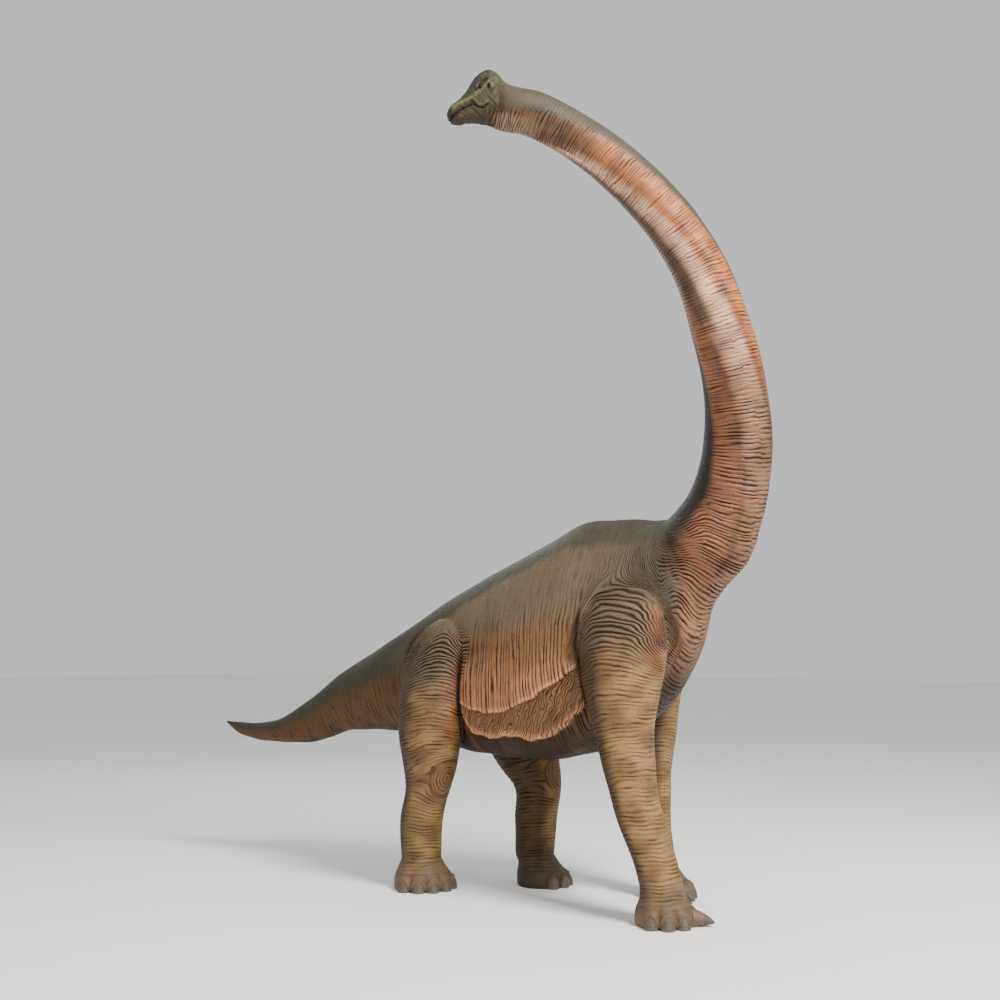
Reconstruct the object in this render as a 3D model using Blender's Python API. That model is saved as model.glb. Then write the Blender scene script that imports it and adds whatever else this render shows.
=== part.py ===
"""A standing long-necked dinosaur statue for a park, over five metres tall.

The body is one smooth form from tail tip to snout: a stack of egg-shaped sections along a spine.
It is parted by thin flat cuts into tail, trunk, neck and head, and the four legs are stacks of level
sections cut off where they meet the trunk. Metres, +Z up, the animal walks towards +X.
"""
import math

import bmesh
import bpy
import numpy as np

# ---------------------------------------------------------------- driving dimensions
GAP = 0.0003                      # clear space between two pieces that touch
AROUND = 24                       # corners of every section of tail, trunk, neck and head
LEG_AROUND = 18                   # corners of every section of a leg
STEP_BODY = 0.17                  # distance between sections of trunk and tail
STEP_NECK = 0.13                  # and of the neck
STEP_HEAD = 0.03                  # and of the head
UPPER_RINGS = 8                   # sections of an upper leg
LOWER_RINGS = 5                   # and of a lower leg
SHARP = math.radians(40)          # faces that meet at more than this keep a crisp edge
MIDDLE = np.array([-0.8915, -0.379, 0.0])   # the floor point under the middle of the box

# Tail and trunk, every row an upright section across the animal:
# x, height of the back, height where it is widest, height of the belly, half width
TAIL_AND_TRUNK = (
    (-3.25, 1.042, 1.030, 1.016, 0.012),
    (-3.11, 1.036, 0.990, 0.942, 0.036),
    (-2.92, 1.036, 0.975, 0.905, 0.056),
    (-2.66, 1.070, 0.985, 0.893, 0.080),
    (-2.30, 1.242, 1.085, 0.910, 0.132),
    (-1.95, 1.452, 1.235, 1.000, 0.185),
    (-1.60, 1.628, 1.365, 1.025, 0.245),
    (-1.25, 1.805, 1.440, 1.000, 0.290),
    (-0.90, 1.996, 1.470, 0.920, 0.330),
    (-0.70, 2.085, 1.465, 0.898, 0.358),
    (-0.50, 2.170, 1.450, 0.885, 0.415),
    (-0.12, 2.320, 1.440, 0.885, 0.495),
    (0.12, 2.432, 1.470, 0.930, 0.490),
    (0.36, 2.440, 1.540, 1.010, 0.450),
    (0.54, 2.430, 1.640, 1.130, 0.400),
)
# Shoulders, sections that fan out about the root of the neck:
# x and z on the back, x and z on the chest, how far down it is widest (0 to 1), half width
SHOULDERS = (
    (0.635, 2.422, 0.745, 1.330, 0.52, 0.345),
    (0.695, 2.422, 0.890, 1.590, 0.50, 0.305),
    (0.730, 2.422, 0.985, 1.870, 0.50, 0.275),
)
# Neck, from the chest up: centre x, y, z and radius
NECK = (
    (0.985, -0.015, 2.270, 0.277),
    (1.112, -0.029, 2.458, 0.240),
    (1.209, -0.070, 2.695, 0.219),
    (1.257, -0.120, 2.931, 0.207),
    (1.270, -0.182, 3.167, 0.195),
    (1.257, -0.256, 3.402, 0.189),
    (1.220, -0.335, 3.639, 0.181),
    (1.164, -0.414, 3.877, 0.169),
    (1.059, -0.516, 4.118, 0.160),
    (0.901, -0.648, 4.362, 0.153),
    (0.682, -0.817, 4.608, 0.141),
    (0.506, -0.946, 4.751, 0.134),
    (0.360, -1.054, 4.837, 0.137),
)
TWIST_LOW = math.radians(28)      # how the neck's back is turned at the chest
TWIST_HIGH = math.radians(180)    # and at the head
NECK_DEPTH = 1.02                 # half depth and half width of the neck, as shares of its radius
NECK_WIDTH = 0.97
SIDEWAYS = np.array([-0.568, 0.823, 0.0])   # level direction across the plane that the neck bends in

# Head, upright sections: distance ahead of the nape, top, widest, bottom, half width
HEAD_ROOT = np.array([0.232, -1.136, 0.0])
HEAD_AHEAD = np.array([-0.821, -0.571, 0.0])
HEAD = (
    (0.000, 5.026, 4.870, 4.728, 0.128),
    (0.045, 5.085, 4.880, 4.738, 0.106),
    (0.092, 5.113, 4.885, 4.760, 0.096),
    (0.140, 5.100, 4.880, 4.770, 0.088),
    (0.188, 5.058, 4.870, 4.776, 0.076),
    (0.237, 4.975, 4.850, 4.776, 0.067),
    (0.286, 4.915, 4.835, 4.766, 0.065),
    (0.330, 4.880, 4.825, 4.780, 0.050),
    (0.352, 4.850, 4.822, 4.800, 0.022),
)
HEAD_LEFT = np.array([0.571, -0.821, 0.0])
CREST_PINCH = 0.30                # how much the dome of the head narrows towards its top
CREST_START = 0.05                # distance past the nape over which that sets in
MOUTH_LINE = ((0.130, 4.842), (0.200, 4.862), (0.270, 4.842), (0.400, 4.806))   # ahead, height
JAW_BACK = 0.118                  # the jaw's hinge edge, ahead of the nape
JAW_HINGE_DROP = 0.004            # the corner of the mouth above the hinge edge's top
JAW_BLOCK_FLOOR = 4.60            # the block that parts the jaw reaches below the head
JAW_BLOCK_WIDTH = 0.20            # and past it on both sides
EYE_AHEAD = 0.144
EYE_HEIGHT = 4.966
EYE_OUT = 0.066                   # eye's centre from the middle of the head
EYE_RADIUS = 0.017
SOCKET_ROOM = 0.0005              # clear space round the eye in its socket

# Legs, rows from top to sole: z, x, y away from the middle plane, half length, half width
NEAR_FORE = (
    (2.02, 0.555, 0.290, 0.070, 0.040),
    (1.96, 0.560, 0.308, 0.160, 0.100),
    (1.85, 0.570, 0.330, 0.245, 0.155),
    (1.70, 0.577, 0.352, 0.285, 0.195),
    (1.50, 0.580, 0.370, 0.270, 0.212),
    (1.30, 0.577, 0.380, 0.225, 0.198),
    (1.00, 0.604, 0.386, 0.172, 0.168),
    (0.77, 0.645, 0.384, 0.152, 0.151),
    (0.54, 0.712, 0.380, 0.142, 0.141),
    (0.37, 0.777, 0.372, 0.131, 0.131),
    (0.205, 0.818, 0.362, 0.128, 0.130),
)
FAR_FORE = (
    (2.02, 0.455, 0.290, 0.070, 0.040),
    (1.96, 0.455, 0.308, 0.160, 0.100),
    (1.85, 0.450, 0.330, 0.235, 0.155),
    (1.70, 0.430, 0.352, 0.270, 0.195),
    (1.50, 0.388, 0.372, 0.255, 0.210),
    (1.30, 0.348, 0.386, 0.222, 0.198),
    (1.00, 0.345, 0.396, 0.172, 0.168),
    (0.77, 0.334, 0.400, 0.152, 0.151),
    (0.54, 0.340, 0.402, 0.142, 0.141),
    (0.37, 0.355, 0.404, 0.131, 0.131),
    (0.205, 0.385, 0.406, 0.128, 0.130),
)
NEAR_HIND = (
    (1.80, -0.860, 0.262, 0.060, 0.040),
    (1.74, -0.865, 0.275, 0.145, 0.095),
    (1.62, -0.872, 0.296, 0.222, 0.160),
    (1.45, -0.890, 0.306, 0.246, 0.198),
    (1.25, -0.922, 0.308, 0.244, 0.210),
    (1.06, -0.952, 0.300, 0.230, 0.203),
    (0.86, -0.962, 0.294, 0.193, 0.182),
    (0.66, -0.985, 0.286, 0.150, 0.150),
    (0.455, -1.045, 0.276, 0.146, 0.145),
    (0.205, -1.056, 0.262, 0.134, 0.138),
)
FAR_HIND = (
    (1.80, -0.800, 0.262, 0.060, 0.040),
    (1.74, -0.795, 0.275, 0.145, 0.095),
    (1.62, -0.780, 0.290, 0.215, 0.150),
    (1.45, -0.755, 0.300, 0.245, 0.190),
    (1.25, -0.700, 0.304, 0.250, 0.205),
    (1.06, -0.645, 0.304, 0.262, 0.205),
    (0.86, -0.585, 0.302, 0.250, 0.184),
    (0.66, -0.482, 0.300, 0.166, 0.156),
    (0.455, -0.492, 0.302, 0.148, 0.147),
    (0.205, -0.508, 0.306, 0.134, 0.136),
)
# Feet: height, share of the sole's reach, share of the way from ankle to sole, how much toes show
FOOT_ROWS = (
    (0.150, 0.880, 0.55, 0.15),
    (0.095, 0.970, 0.85, 0.50),
    (0.045, 1.000, 1.00, 1.00),
    (0.000, 0.950, 1.00, 1.00),
)
ANKLE = 0.205                     # height of the cut between lower leg and foot
FOOT_AROUND = 26                  # corners of every section of a foot
TOE_SWELL = 0.020                 # how far each toe bulges from the pad
TOE_SPREAD = math.radians(14)     # half the angle that a toe takes
THUMB_SWELL = 0.058               # the forefoot's thumb reaches further
NAIL_AROUND = 8                   # corners of every section of a nail or claw
NAIL_WIDTH = 0.038                # half width of a nail at its foot
NAIL_HEIGHT = 0.075
NAIL_DEPTH = 0.026                # half its thickness, front to back
NAIL_THIN = 0.45                  # share of that thickness lost at its top
NAIL_LIFT = 0.004                 # its lower edge above the floor
NAIL_SINK = 0.018                 # its middle behind the toe's tip
NAIL_LEAN = 0.008                 # how far it leans in over its height
NAIL_SHARES = (0.0, 0.40, 0.72, 0.95)      # sections, as shares of its height
CLAW_LENGTH = 0.115               # the thumb's pointed claw
CLAW_RADIUS = 0.036
CLAW_HEIGHT = 0.047               # its root above the floor
CLAW_SINK = 0.055                 # its root behind the thumb's tip
CLAW_DROP = 0.028                 # how far its point sinks
CLAW_TAPER = 0.7                  # below 1 it stays full and then shrinks fast
CLAW_SHARES = (0.0, 0.25, 0.5, 0.75, 0.95)

# Toes as degrees from straight ahead, minus towards the outer side
FORE_TOES = (-88.0, -54.0, -20.0)
FORE_THUMB = 24.0
HIND_TOES = (-92.0, -61.0, -31.0, 0.0, 32.0)
# leg: rows, side (-1 right, 1 left), sole centre's x and y, sole's reach, height of the cut at
# elbow or knee, toes, thumb
LEGS = {
    "right_fore": (NEAR_FORE, -1, (0.820, 0.352), 0.170, 0.94, FORE_TOES, FORE_THUMB),
    "left_fore": (FAR_FORE, 1, (0.440, 0.412), 0.168, 0.94, FORE_TOES, FORE_THUMB),
    "right_hind": (NEAR_HIND, -1, (-1.052, 0.250), 0.194, 0.74, HIND_TOES, None),
    "left_hind": (FAR_HIND, 1, (-0.450, 0.308), 0.172, 0.74, HIND_TOES, None),
}

# Where the spine is parted
TAIL_CUTS = (-2.50, -1.85, -1.28)     # x of the cuts through the tail, from the tip forwards
NECK_PARTS = 5                        # equal lengths of the neck


# ---------------------------------------------------------------- helpers for curves
def unit(v):
    """The same direction, one long, for one vector or a stack of them."""
    v = np.asarray(v, float)
    return v / np.linalg.norm(v, axis=-1, keepdims=True)


def smooth(knots, rows, t):
    """Cubic curve through rows at knots, read at t; each slope is the weighted mean of its neighbours'."""
    knots, rows = np.asarray(knots, float), np.asarray(rows, float)
    t = np.atleast_1d(t)
    width = np.diff(knots)
    slope = np.diff(rows, axis=0) / width[:, None]
    inner = (slope[:-1] * width[1:, None] + slope[1:] * width[:-1, None])
    inner = inner / (width[1:] + width[:-1])[:, None]
    slopes = np.vstack([slope[:1], inner, slope[-1:]])
    i = np.clip(np.searchsorted(knots, t, side="right") - 1, 0, len(width) - 1)
    h = width[i][:, None]
    u = ((t - knots[i]) / width[i])[:, None]
    rise = rows[i + 1] - rows[i]
    return (rows[i] + u * h * slopes[i] + u * u * (3 * rise - h * (2 * slopes[i] + slopes[i + 1]))
            + u ** 3 * (h * (slopes[i] + slopes[i + 1]) - 2 * rise))


# ---------------------------------------------------------------- the spine, tail tip to snout
def upright(x, back, widest, belly, half_width):
    """A section of tail or trunk as back point, belly point, left side, widest share, half width."""
    share = (back - widest) / (back - belly)
    return np.array([x, 0, back, x, 0, belly, 0, 1, 0, share, half_width])


def fanned(x_back, z_back, x_chest, z_chest, share, half_width):
    """A shoulder section that leans, in the same form."""
    return np.array([x_back, 0, z_back, x_chest, 0, z_chest, 0, 1, 0, share, half_width])


def neck_sections():
    """Round sections of the neck, square to it, whose back turns from the rear to the top."""
    centre = np.array([row[:3] for row in NECK])
    radius = np.array([row[3] for row in NECK])[:, None]
    ahead = unit(np.gradient(centre, axis=0))
    inner = unit(np.cross(ahead, SIDEWAYS))
    across = unit(np.cross(inner, ahead))
    turn = np.linspace(0, 1, len(NECK))
    turn = TWIST_LOW + (TWIST_HIGH - TWIST_LOW) * turn
    back = np.cos(turn)[:, None] * inner + np.sin(turn)[:, None] * across
    left = unit(np.cross(back, ahead))
    reach = back * radius * NECK_DEPTH
    share = np.full((len(NECK), 1), 0.5)
    return list(np.hstack([centre + reach, centre - reach, left, share, radius * NECK_WIDTH]))


def head_section(ahead, top, widest, bottom, half_width):
    """An upright section of the head, in the same form as the trunk's."""
    foot = HEAD_ROOT + HEAD_AHEAD * ahead
    share = (top - widest) / (top - bottom)
    return np.array([foot[0], foot[1], top, foot[0], foot[1], bottom, *HEAD_LEFT, share, half_width])


SPINE = np.array([upright(*row) for row in TAIL_AND_TRUNK] + [fanned(*row) for row in SHOULDERS]
                 + neck_sections() + [head_section(*row) for row in HEAD])
CENTRES = (SPINE[:, 0:3] + SPINE[:, 3:6]) / 2
SPINE_AT = np.concatenate([[0.0], np.cumsum(np.linalg.norm(np.diff(CENTRES, axis=0), axis=1))])
NECK_START = SPINE_AT[len(TAIL_AND_TRUNK) + len(SHOULDERS)]
HEAD_START = SPINE_AT[-len(HEAD)]
SPINE_END = SPINE_AT[-1]


def body_rings(distances, around=AROUND, grow=0.0):
    """Egg-shaped rings of points at distances along the spine, grown outwards by grow metres."""
    row = smooth(SPINE_AT, SPINE, distances)
    back, belly, left = row[:, 0:3], row[:, 3:6], unit(row[:, 6:9])
    share, half_width = row[:, 9:10], row[:, 10:11] + grow
    up = unit(back - belly)
    depth = np.linalg.norm(back - belly, axis=1, keepdims=True)
    widest = back + (belly - back) * share
    above, below = depth * share + grow, depth * (1 - share) + grow
    turn = np.linspace(0, 2 * math.pi, around, endpoint=False)[None, :, None]
    lift = np.cos(turn)
    height = np.where(lift > 0, above[:, None] * lift, below[:, None] * lift)
    crest = np.clip((np.asarray(distances) - HEAD_START) / CREST_START, 0, 1)[:, None, None]
    pinch = 1 - CREST_PINCH * crest * np.clip(lift, 0, 1) ** 2
    side = half_width[:, None] * np.sin(turn) * pinch
    rings = widest[:, None] + side * left[:, None] + height * up[:, None]
    normal = unit(np.cross(left, up))
    return rings - MIDDLE, normal


# ---------------------------------------------------------------- helpers for meshes and nodes
def material(name, colour, roughness):
    """A plain finish from a linear colour and a roughness."""
    made = bpy.data.materials.new(name)
    made.use_nodes = True
    shader = made.node_tree.nodes["Principled BSDF"]
    shader.inputs["Base Color"].default_value = (*colour, 1.0)
    shader.inputs["Roughness"].default_value = roughness
    shader.inputs["Metallic"].default_value = 0.0
    return made


def stack_mesh(name, rings):
    """A closed mesh from a stack of rings: triangles between them and one flat cap at each end."""
    count, around = rings.shape[:2]
    corner = np.arange(count * around).reshape(count, around)
    turned = np.roll(corner, -1, axis=1)
    first = np.stack([corner[:-1], turned[:-1], turned[1:]], axis=-1).reshape(-1, 3)
    second = np.stack([corner[:-1], turned[1:], corner[1:]], axis=-1).reshape(-1, 3)
    faces = first.tolist() + second.tolist() + [corner[0].tolist(), corner[-1][::-1].tolist()]
    mesh = bpy.data.meshes.new(name)
    mesh.from_pydata(rings.reshape(-1, 3).tolist(), [], faces)
    shape = bmesh.new()
    shape.from_mesh(mesh)
    bmesh.ops.recalc_face_normals(shape, faces=shape.faces)
    shape.to_mesh(mesh)
    shape.free()
    mesh.shade_smooth()
    mesh.set_sharp_from_angle(angle=SHARP)
    return mesh


def ball_mesh(name, centre, radius):
    """A closed ball of triangles."""
    ball = bmesh.new()
    bmesh.ops.create_icosphere(ball, subdivisions=2, radius=radius)
    bmesh.ops.translate(ball, vec=centre, verts=ball.verts)
    mesh = bpy.data.meshes.new(name)
    ball.to_mesh(mesh)
    ball.free()
    mesh.shade_smooth()
    return mesh


def add_node(name, mesh, finish):
    """One named piece of the statue."""
    mesh.materials.append(finish)
    node = bpy.data.objects.new(name, mesh)
    bpy.context.collection.objects.link(node)
    return node


def add_cutter(name, mesh):
    """A hidden shape that only cuts others."""
    cutter = bpy.data.objects.new(name, mesh)
    bpy.context.collection.objects.link(cutter)
    cutter.hide_render = True
    cutter.display_type = "WIRE"
    return cutter


def cut(node, cutter, keep=False):
    """Take the cutter's shape away from the node, or keep only what lies inside it."""
    step = node.modifiers.new(cutter.name, "BOOLEAN")
    step.operation = "INTERSECT" if keep else "DIFFERENCE"
    step.solver = "EXACT"
    step.object = cutter


# ---------------------------------------------------------------- tail, trunk, neck and head
def spine_piece(name, start, end, step, finish):
    """The length of the body between two distances along the spine, half a gap short at each end."""
    count = max(3, int(round((end - start) / step)) + 1)
    rings, normal = body_rings(np.linspace(start, end, count))
    if start > 0:
        rings[0] += normal[0] * GAP / 2
    if end < SPINE_END:
        rings[-1] -= normal[-1] * GAP / 2
    return add_node(name, stack_mesh(name, rings), finish)


def distance_at_x(x):
    """How far along the spine an upright section of the tail or trunk lies."""
    xs = [row[0] for row in TAIL_AND_TRUNK]
    return float(np.interp(x, xs, SPINE_AT[:len(xs)]))


def build_body(finishes):
    """Tail, trunk and neck, parted by flat cuts; gives the cutter that trims the legs."""
    cuts = [0.0] + [distance_at_x(x) for x in TAIL_CUTS]
    for i in range(len(TAIL_CUTS)):
        number = len(TAIL_CUTS) - i
        spine_piece(f"tail_{number}", cuts[i], cuts[i + 1], STEP_BODY, finishes["tail"])
    spine_piece("trunk", cuts[-1], NECK_START, STEP_BODY, finishes["trunk"])
    marks = np.linspace(NECK_START, HEAD_START, NECK_PARTS + 1)
    for i in range(NECK_PARTS):
        spine_piece(f"neck_{i + 1}", marks[i], marks[i + 1], STEP_NECK, finishes["neck"])
    count = int(round((NECK_START - cuts[-1]) / STEP_BODY)) + 1
    reach = np.linspace(cuts[-1], NECK_START, count)
    reach = np.concatenate([[cuts[-1] - STEP_BODY], reach, [NECK_START + STEP_NECK]])
    return add_cutter("trunk_allowance", stack_mesh("trunk_allowance", body_rings(reach, grow=GAP)[0]))


def head_block(name, outline, half_width):
    """A slab across the head whose side view is outline, as (ahead, height) points."""
    sides = []
    for out in (-half_width, half_width):
        sides.append([HEAD_ROOT + HEAD_AHEAD * a + HEAD_LEFT * out + np.array([0, 0, z])
                      for a, z in outline])
    return stack_mesh(name, np.array(sides) - MIDDLE)


def jaw_outline(inset):
    """Side view of all that lies below the mouth line and ahead of the hinge, drawn in by inset."""
    hinge = JAW_BACK + inset
    front = MOUTH_LINE[-1][0]
    mouth = [(ahead, height - inset) for ahead, height in MOUTH_LINE]
    return [(hinge, JAW_BLOCK_FLOOR), (hinge, mouth[0][1] - JAW_HINGE_DROP), *mouth, (front, JAW_BLOCK_FLOOR)]


def build_head(finishes):
    """Head and lower jaw, parted along the mouth, and an eye in a socket on each side."""
    head = spine_piece("head", HEAD_START, SPINE_END, STEP_HEAD, finishes["head"])
    jaw = spine_piece("lower_jaw", HEAD_START, SPINE_END, STEP_HEAD, finishes["head"])
    cut(head, add_cutter("mouth_cut", head_block("mouth_cut", jaw_outline(0.0), JAW_BLOCK_WIDTH)))
    cut(jaw, add_cutter("jaw_keep", head_block("jaw_keep", jaw_outline(GAP), JAW_BLOCK_WIDTH)), keep=True)
    for side, label in ((1, "left"), (-1, "right")):
        centre = HEAD_ROOT + HEAD_AHEAD * EYE_AHEAD + HEAD_LEFT * EYE_OUT * side
        centre = centre + np.array([0, 0, EYE_HEIGHT]) - MIDDLE
        add_node(f"eye_{label}", ball_mesh(f"eye_{label}", centre, EYE_RADIUS), finishes["eye"])
        socket = ball_mesh(f"eye_{label}_socket", centre, EYE_RADIUS + SOCKET_ROOM)
        cut(head, add_cutter(f"eye_{label}_socket", socket))


# ---------------------------------------------------------------- legs
def level_ring(x, y, z, half_length, half_width, around, start=0.0):
    """A level ellipse of points, counted from the start angle."""
    turn = np.linspace(start, start + 2 * math.pi, around, endpoint=False)
    return np.stack([x + half_length * np.cos(turn), y + half_width * np.sin(turn),
                     np.full(around, z)], axis=1)


def leg_rings(rows, side, top, bottom, count):
    """Level rings of a leg between two heights, read from the smooth curve through its rows."""
    heights = -np.array([row[0] for row in rows])
    values = np.array([row[1:] for row in rows])
    z = np.linspace(top, bottom, count)
    x, y, half_length, half_width = smooth(heights, values, -z).T
    return np.array([level_ring(x[i], side * y[i], z[i], half_length[i], half_width[i], LEG_AROUND)
                     for i in range(count)]) - MIDDLE


def toe_reach(turn, toes, thumb):
    """How far past the pad each direction round a foot reaches: one smooth bump for each toe."""
    out = np.zeros_like(turn)
    for angle in toes:
        out = np.maximum(out, TOE_SWELL * np.exp(-((turn - math.radians(angle)) / TOE_SPREAD) ** 2))
    if thumb is not None:
        out = np.maximum(out, THUMB_SWELL * np.exp(-((turn - math.radians(thumb)) / TOE_SPREAD) ** 2))
    return out


def foot_rings(rows, side, sole, reach, toes, thumb):
    """Rings from the ankle down to the flat sole, spreading out into the toes."""
    turn = np.linspace(-math.pi, math.pi, FOOT_AROUND, endpoint=False)
    z, x, y, half_length, half_width = rows[-1]
    rings = [level_ring(x, side * y, z, half_length, half_width, FOOT_AROUND, -math.pi)]
    for height, share, shift, show in FOOT_ROWS:
        middle = np.array([x, y]) + (np.array(sole) - (x, y)) * shift
        out = reach * share + toe_reach(turn, toes, thumb) * show
        rings.append(np.stack([middle[0] + out * np.cos(turn),
                               side * (middle[1] - out * np.sin(turn)),
                               np.full(FOOT_AROUND, height)], axis=1))
    rings = np.array(rings)
    rings[0, :, 2] -= GAP / 2
    if side > 0:
        rings[0] = rings[0, (-np.arange(FOOT_AROUND)) % FOOT_AROUND]
    return rings - MIDDLE


def toe_direction(side, degrees):
    """The level direction that a toe points in."""
    angle = math.radians(degrees)
    return np.array([math.cos(angle), -side * math.sin(angle), 0.0])


def nail_rings(side, sole, reach, degrees, grow=0.0):
    """A blunt nail as level ellipses that narrow like an arch and lean in against the toe."""
    turn = np.linspace(0, 2 * math.pi, NAIL_AROUND, endpoint=False)[:, None]
    out = toe_direction(side, degrees)
    along = np.array([-out[1], out[0], 0.0])
    rings = []
    for share in NAIL_SHARES:
        arch = math.sqrt(1 - share ** 2)
        width = NAIL_WIDTH * arch + grow
        depth = NAIL_DEPTH * (1 - NAIL_THIN * (1 - arch)) + grow
        centre = np.array([sole[0], side * sole[1], NAIL_LIFT + share * NAIL_HEIGHT])
        centre = centre + out * (reach + TOE_SWELL - NAIL_SINK - NAIL_LEAN * share ** 2)
        rings.append(centre + np.cos(turn) * along * width + np.sin(turn) * out * depth)
    rings = np.array(rings)
    rings[0, :, 2] -= grow
    rings[-1, :, 2] += grow
    return rings - MIDDLE


def claw_rings(side, sole, reach, degrees, grow=0.0):
    """The thumb's claw as round rings that shrink to a point and sink a little towards it."""
    turn = np.linspace(0, 2 * math.pi, NAIL_AROUND, endpoint=False)[:, None]
    out = toe_direction(side, degrees)
    along = np.array([-out[1], out[0], 0.0])
    upward = np.array([0.0, 0.0, 1.0])
    root = np.array([sole[0], side * sole[1], CLAW_HEIGHT]) + out * (reach + THUMB_SWELL - CLAW_SINK)
    rings = []
    for share in CLAW_SHARES:
        radius = CLAW_RADIUS * (1 - share) ** CLAW_TAPER + grow
        centre = root + out * CLAW_LENGTH * share - upward * CLAW_DROP * share ** 1.5
        rings.append(centre + np.cos(turn) * along * radius + np.sin(turn) * upward * radius)
    rings = np.array(rings)
    rings[0] -= out * grow
    rings[-1] += out * grow
    return rings - MIDDLE


def add_horn(label, maker, place, foot, finish):
    """A nail or claw made by maker at place, set in a bed cut into the foot."""
    add_node(label, stack_mesh(label, maker(*place)), finish)
    cut(foot, add_cutter(f"{label}_bed", stack_mesh(f"{label}_bed", maker(*place, grow=GAP))))


def build_leg(name, spec, trunk_allowance, finishes):
    """Upper leg, lower leg, foot and nails of one leg."""
    rows, side, sole, reach, bend, toes, thumb = spec
    upper = leg_rings(rows, side, rows[0][0], bend + GAP / 2, UPPER_RINGS)
    upper_leg = add_node(f"{name}_leg_upper", stack_mesh(f"{name}_leg_upper", upper), finishes["leg"])
    cut(upper_leg, trunk_allowance)
    lower = leg_rings(rows, side, bend - GAP / 2, ANKLE + GAP / 2, LOWER_RINGS)
    add_node(f"{name}_leg_lower", stack_mesh(f"{name}_leg_lower", lower), finishes["leg"])
    rings = foot_rings(rows, side, sole, reach, toes, thumb)
    foot = add_node(f"{name}_foot", stack_mesh(f"{name}_foot", rings), finishes["foot"])
    for i, degrees in enumerate(toes):
        add_horn(f"{name}_nail_{i + 1}", nail_rings, (side, sole, reach, degrees), foot, finishes["nail"])
    if thumb is not None:
        add_horn(f"{name}_claw", claw_rings, (side, sole, reach, thumb), foot, finishes["nail"])


def main():
    """Empty the scene and build the statue."""
    for thing in list(bpy.data.objects):
        bpy.data.objects.remove(thing, do_unlink=True)
    finishes = {
        "tail": material("tail_skin", (0.115, 0.080, 0.048), 0.62),
        "trunk": material("trunk_skin", (0.160, 0.115, 0.068), 0.62),
        "neck": material("neck_skin", (0.210, 0.115, 0.070), 0.50),
        "head": material("head_skin", (0.120, 0.115, 0.070), 0.60),
        "leg": material("leg_skin", (0.150, 0.110, 0.055), 0.66),
        "foot": material("foot_skin", (0.130, 0.095, 0.060), 0.70),
        "nail": material("nail_horn", (0.090, 0.075, 0.065), 0.55),
        "eye": material("eye_gloss", (0.012, 0.009, 0.006), 0.10),
    }
    allowance = build_body(finishes)
    build_head(finishes)
    for name, spec in LEGS.items():
        build_leg(name, spec, allowance, finishes)


main()
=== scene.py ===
# %% [markdown]
# # A long-necked dinosaur statue, dressed in its skin
#
# The statue is carved foam over a steel frame, covered with painted silicone skin. The frame
# that is loaded here holds its main solids, parted by thin cuts. This lesson lays one skin over
# them: it joins trunk, tail and legs with a voxel remesh, carries the neck and the head as grids,
# folds the skin with sums of waves, and paints it by where each point lies on the animal.

# %% Load the frame
import math

import bpy
import numpy as np
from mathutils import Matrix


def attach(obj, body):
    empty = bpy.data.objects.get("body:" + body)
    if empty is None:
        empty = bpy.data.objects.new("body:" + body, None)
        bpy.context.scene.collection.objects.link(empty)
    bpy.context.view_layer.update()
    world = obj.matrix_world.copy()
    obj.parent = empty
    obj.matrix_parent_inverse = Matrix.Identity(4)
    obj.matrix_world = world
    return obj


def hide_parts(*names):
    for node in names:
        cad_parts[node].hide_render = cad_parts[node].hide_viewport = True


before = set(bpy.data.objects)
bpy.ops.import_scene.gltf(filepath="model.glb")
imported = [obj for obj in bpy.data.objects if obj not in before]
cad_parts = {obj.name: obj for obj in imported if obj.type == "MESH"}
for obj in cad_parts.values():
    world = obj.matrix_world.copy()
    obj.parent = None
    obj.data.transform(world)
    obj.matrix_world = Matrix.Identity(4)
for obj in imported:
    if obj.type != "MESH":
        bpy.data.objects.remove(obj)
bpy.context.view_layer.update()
print("solids in the frame:", len(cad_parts))


def new_object(name, data):
    """An object that shows the given data, linked into the scene."""
    made = bpy.data.objects.new(name, data)
    bpy.context.scene.collection.objects.link(made)
    return made


# %% [markdown]
# Floor, light and camera come first, so that every later step can be looked at. The camera stands
# at a person's eye height, ahead of the animal on its right side, and looks up a little.

# %% Camera
CAMERA_PLACE = (5.2215, -6.751, 1.6)
CAMERA_TILT = math.radians(96.84)
CAMERA_TURN = math.radians(34.6)

camera_data = bpy.data.cameras.new("camera")
camera_data.lens = 45.0
camera_data.sensor_width = 36.0
camera = new_object("camera", camera_data)
camera.location = CAMERA_PLACE
camera.rotation_euler = (CAMERA_TILT, 0.0, CAMERA_TURN)
bpy.context.scene.camera = camera
print("camera at", camera.location[:])

# %% [markdown]
# A plain pale floor is one large quad. Three broad area lights make the soft studio light: a key
# light high in front, a fill from the animal's right and a weak rim light behind, with a pale
# world around them.


# %% Stage and light
def plain_floor(half_side):
    """A square of one face at height zero, half_side to each side."""
    corners = half_side * np.array([[-1, -1, 0], [1, -1, 0], [1, 1, 0], [-1, 1, 0]], float)
    mesh = bpy.data.meshes.new("floor")
    mesh.from_pydata(corners.tolist(), [], [[0, 1, 2, 3]])
    return mesh


FLOOR_HALF_SIDE = 60.0
PAPER_TONE = (0.86, 0.86, 0.86, 1.0)
PAPER_ROUGHNESS = 0.9
WORLD_STRENGTH = 0.70
MIDDLE_OF_BODY = (0.3, 0.0, 2.0)
# name, place, side, power, colour
LIGHTS = (
    ("key", (8.0, -2.4, 9.0), 3.0, 2300.0, (1.0, 0.97, 0.92)),
    ("fill", (2.0, -9.5, 6.0), 5.0, 200.0, (1.0, 0.98, 0.96)),
    ("rim", (-6.0, 5.0, 7.0), 4.0, 160.0, (0.95, 0.97, 1.0)),
)


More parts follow.
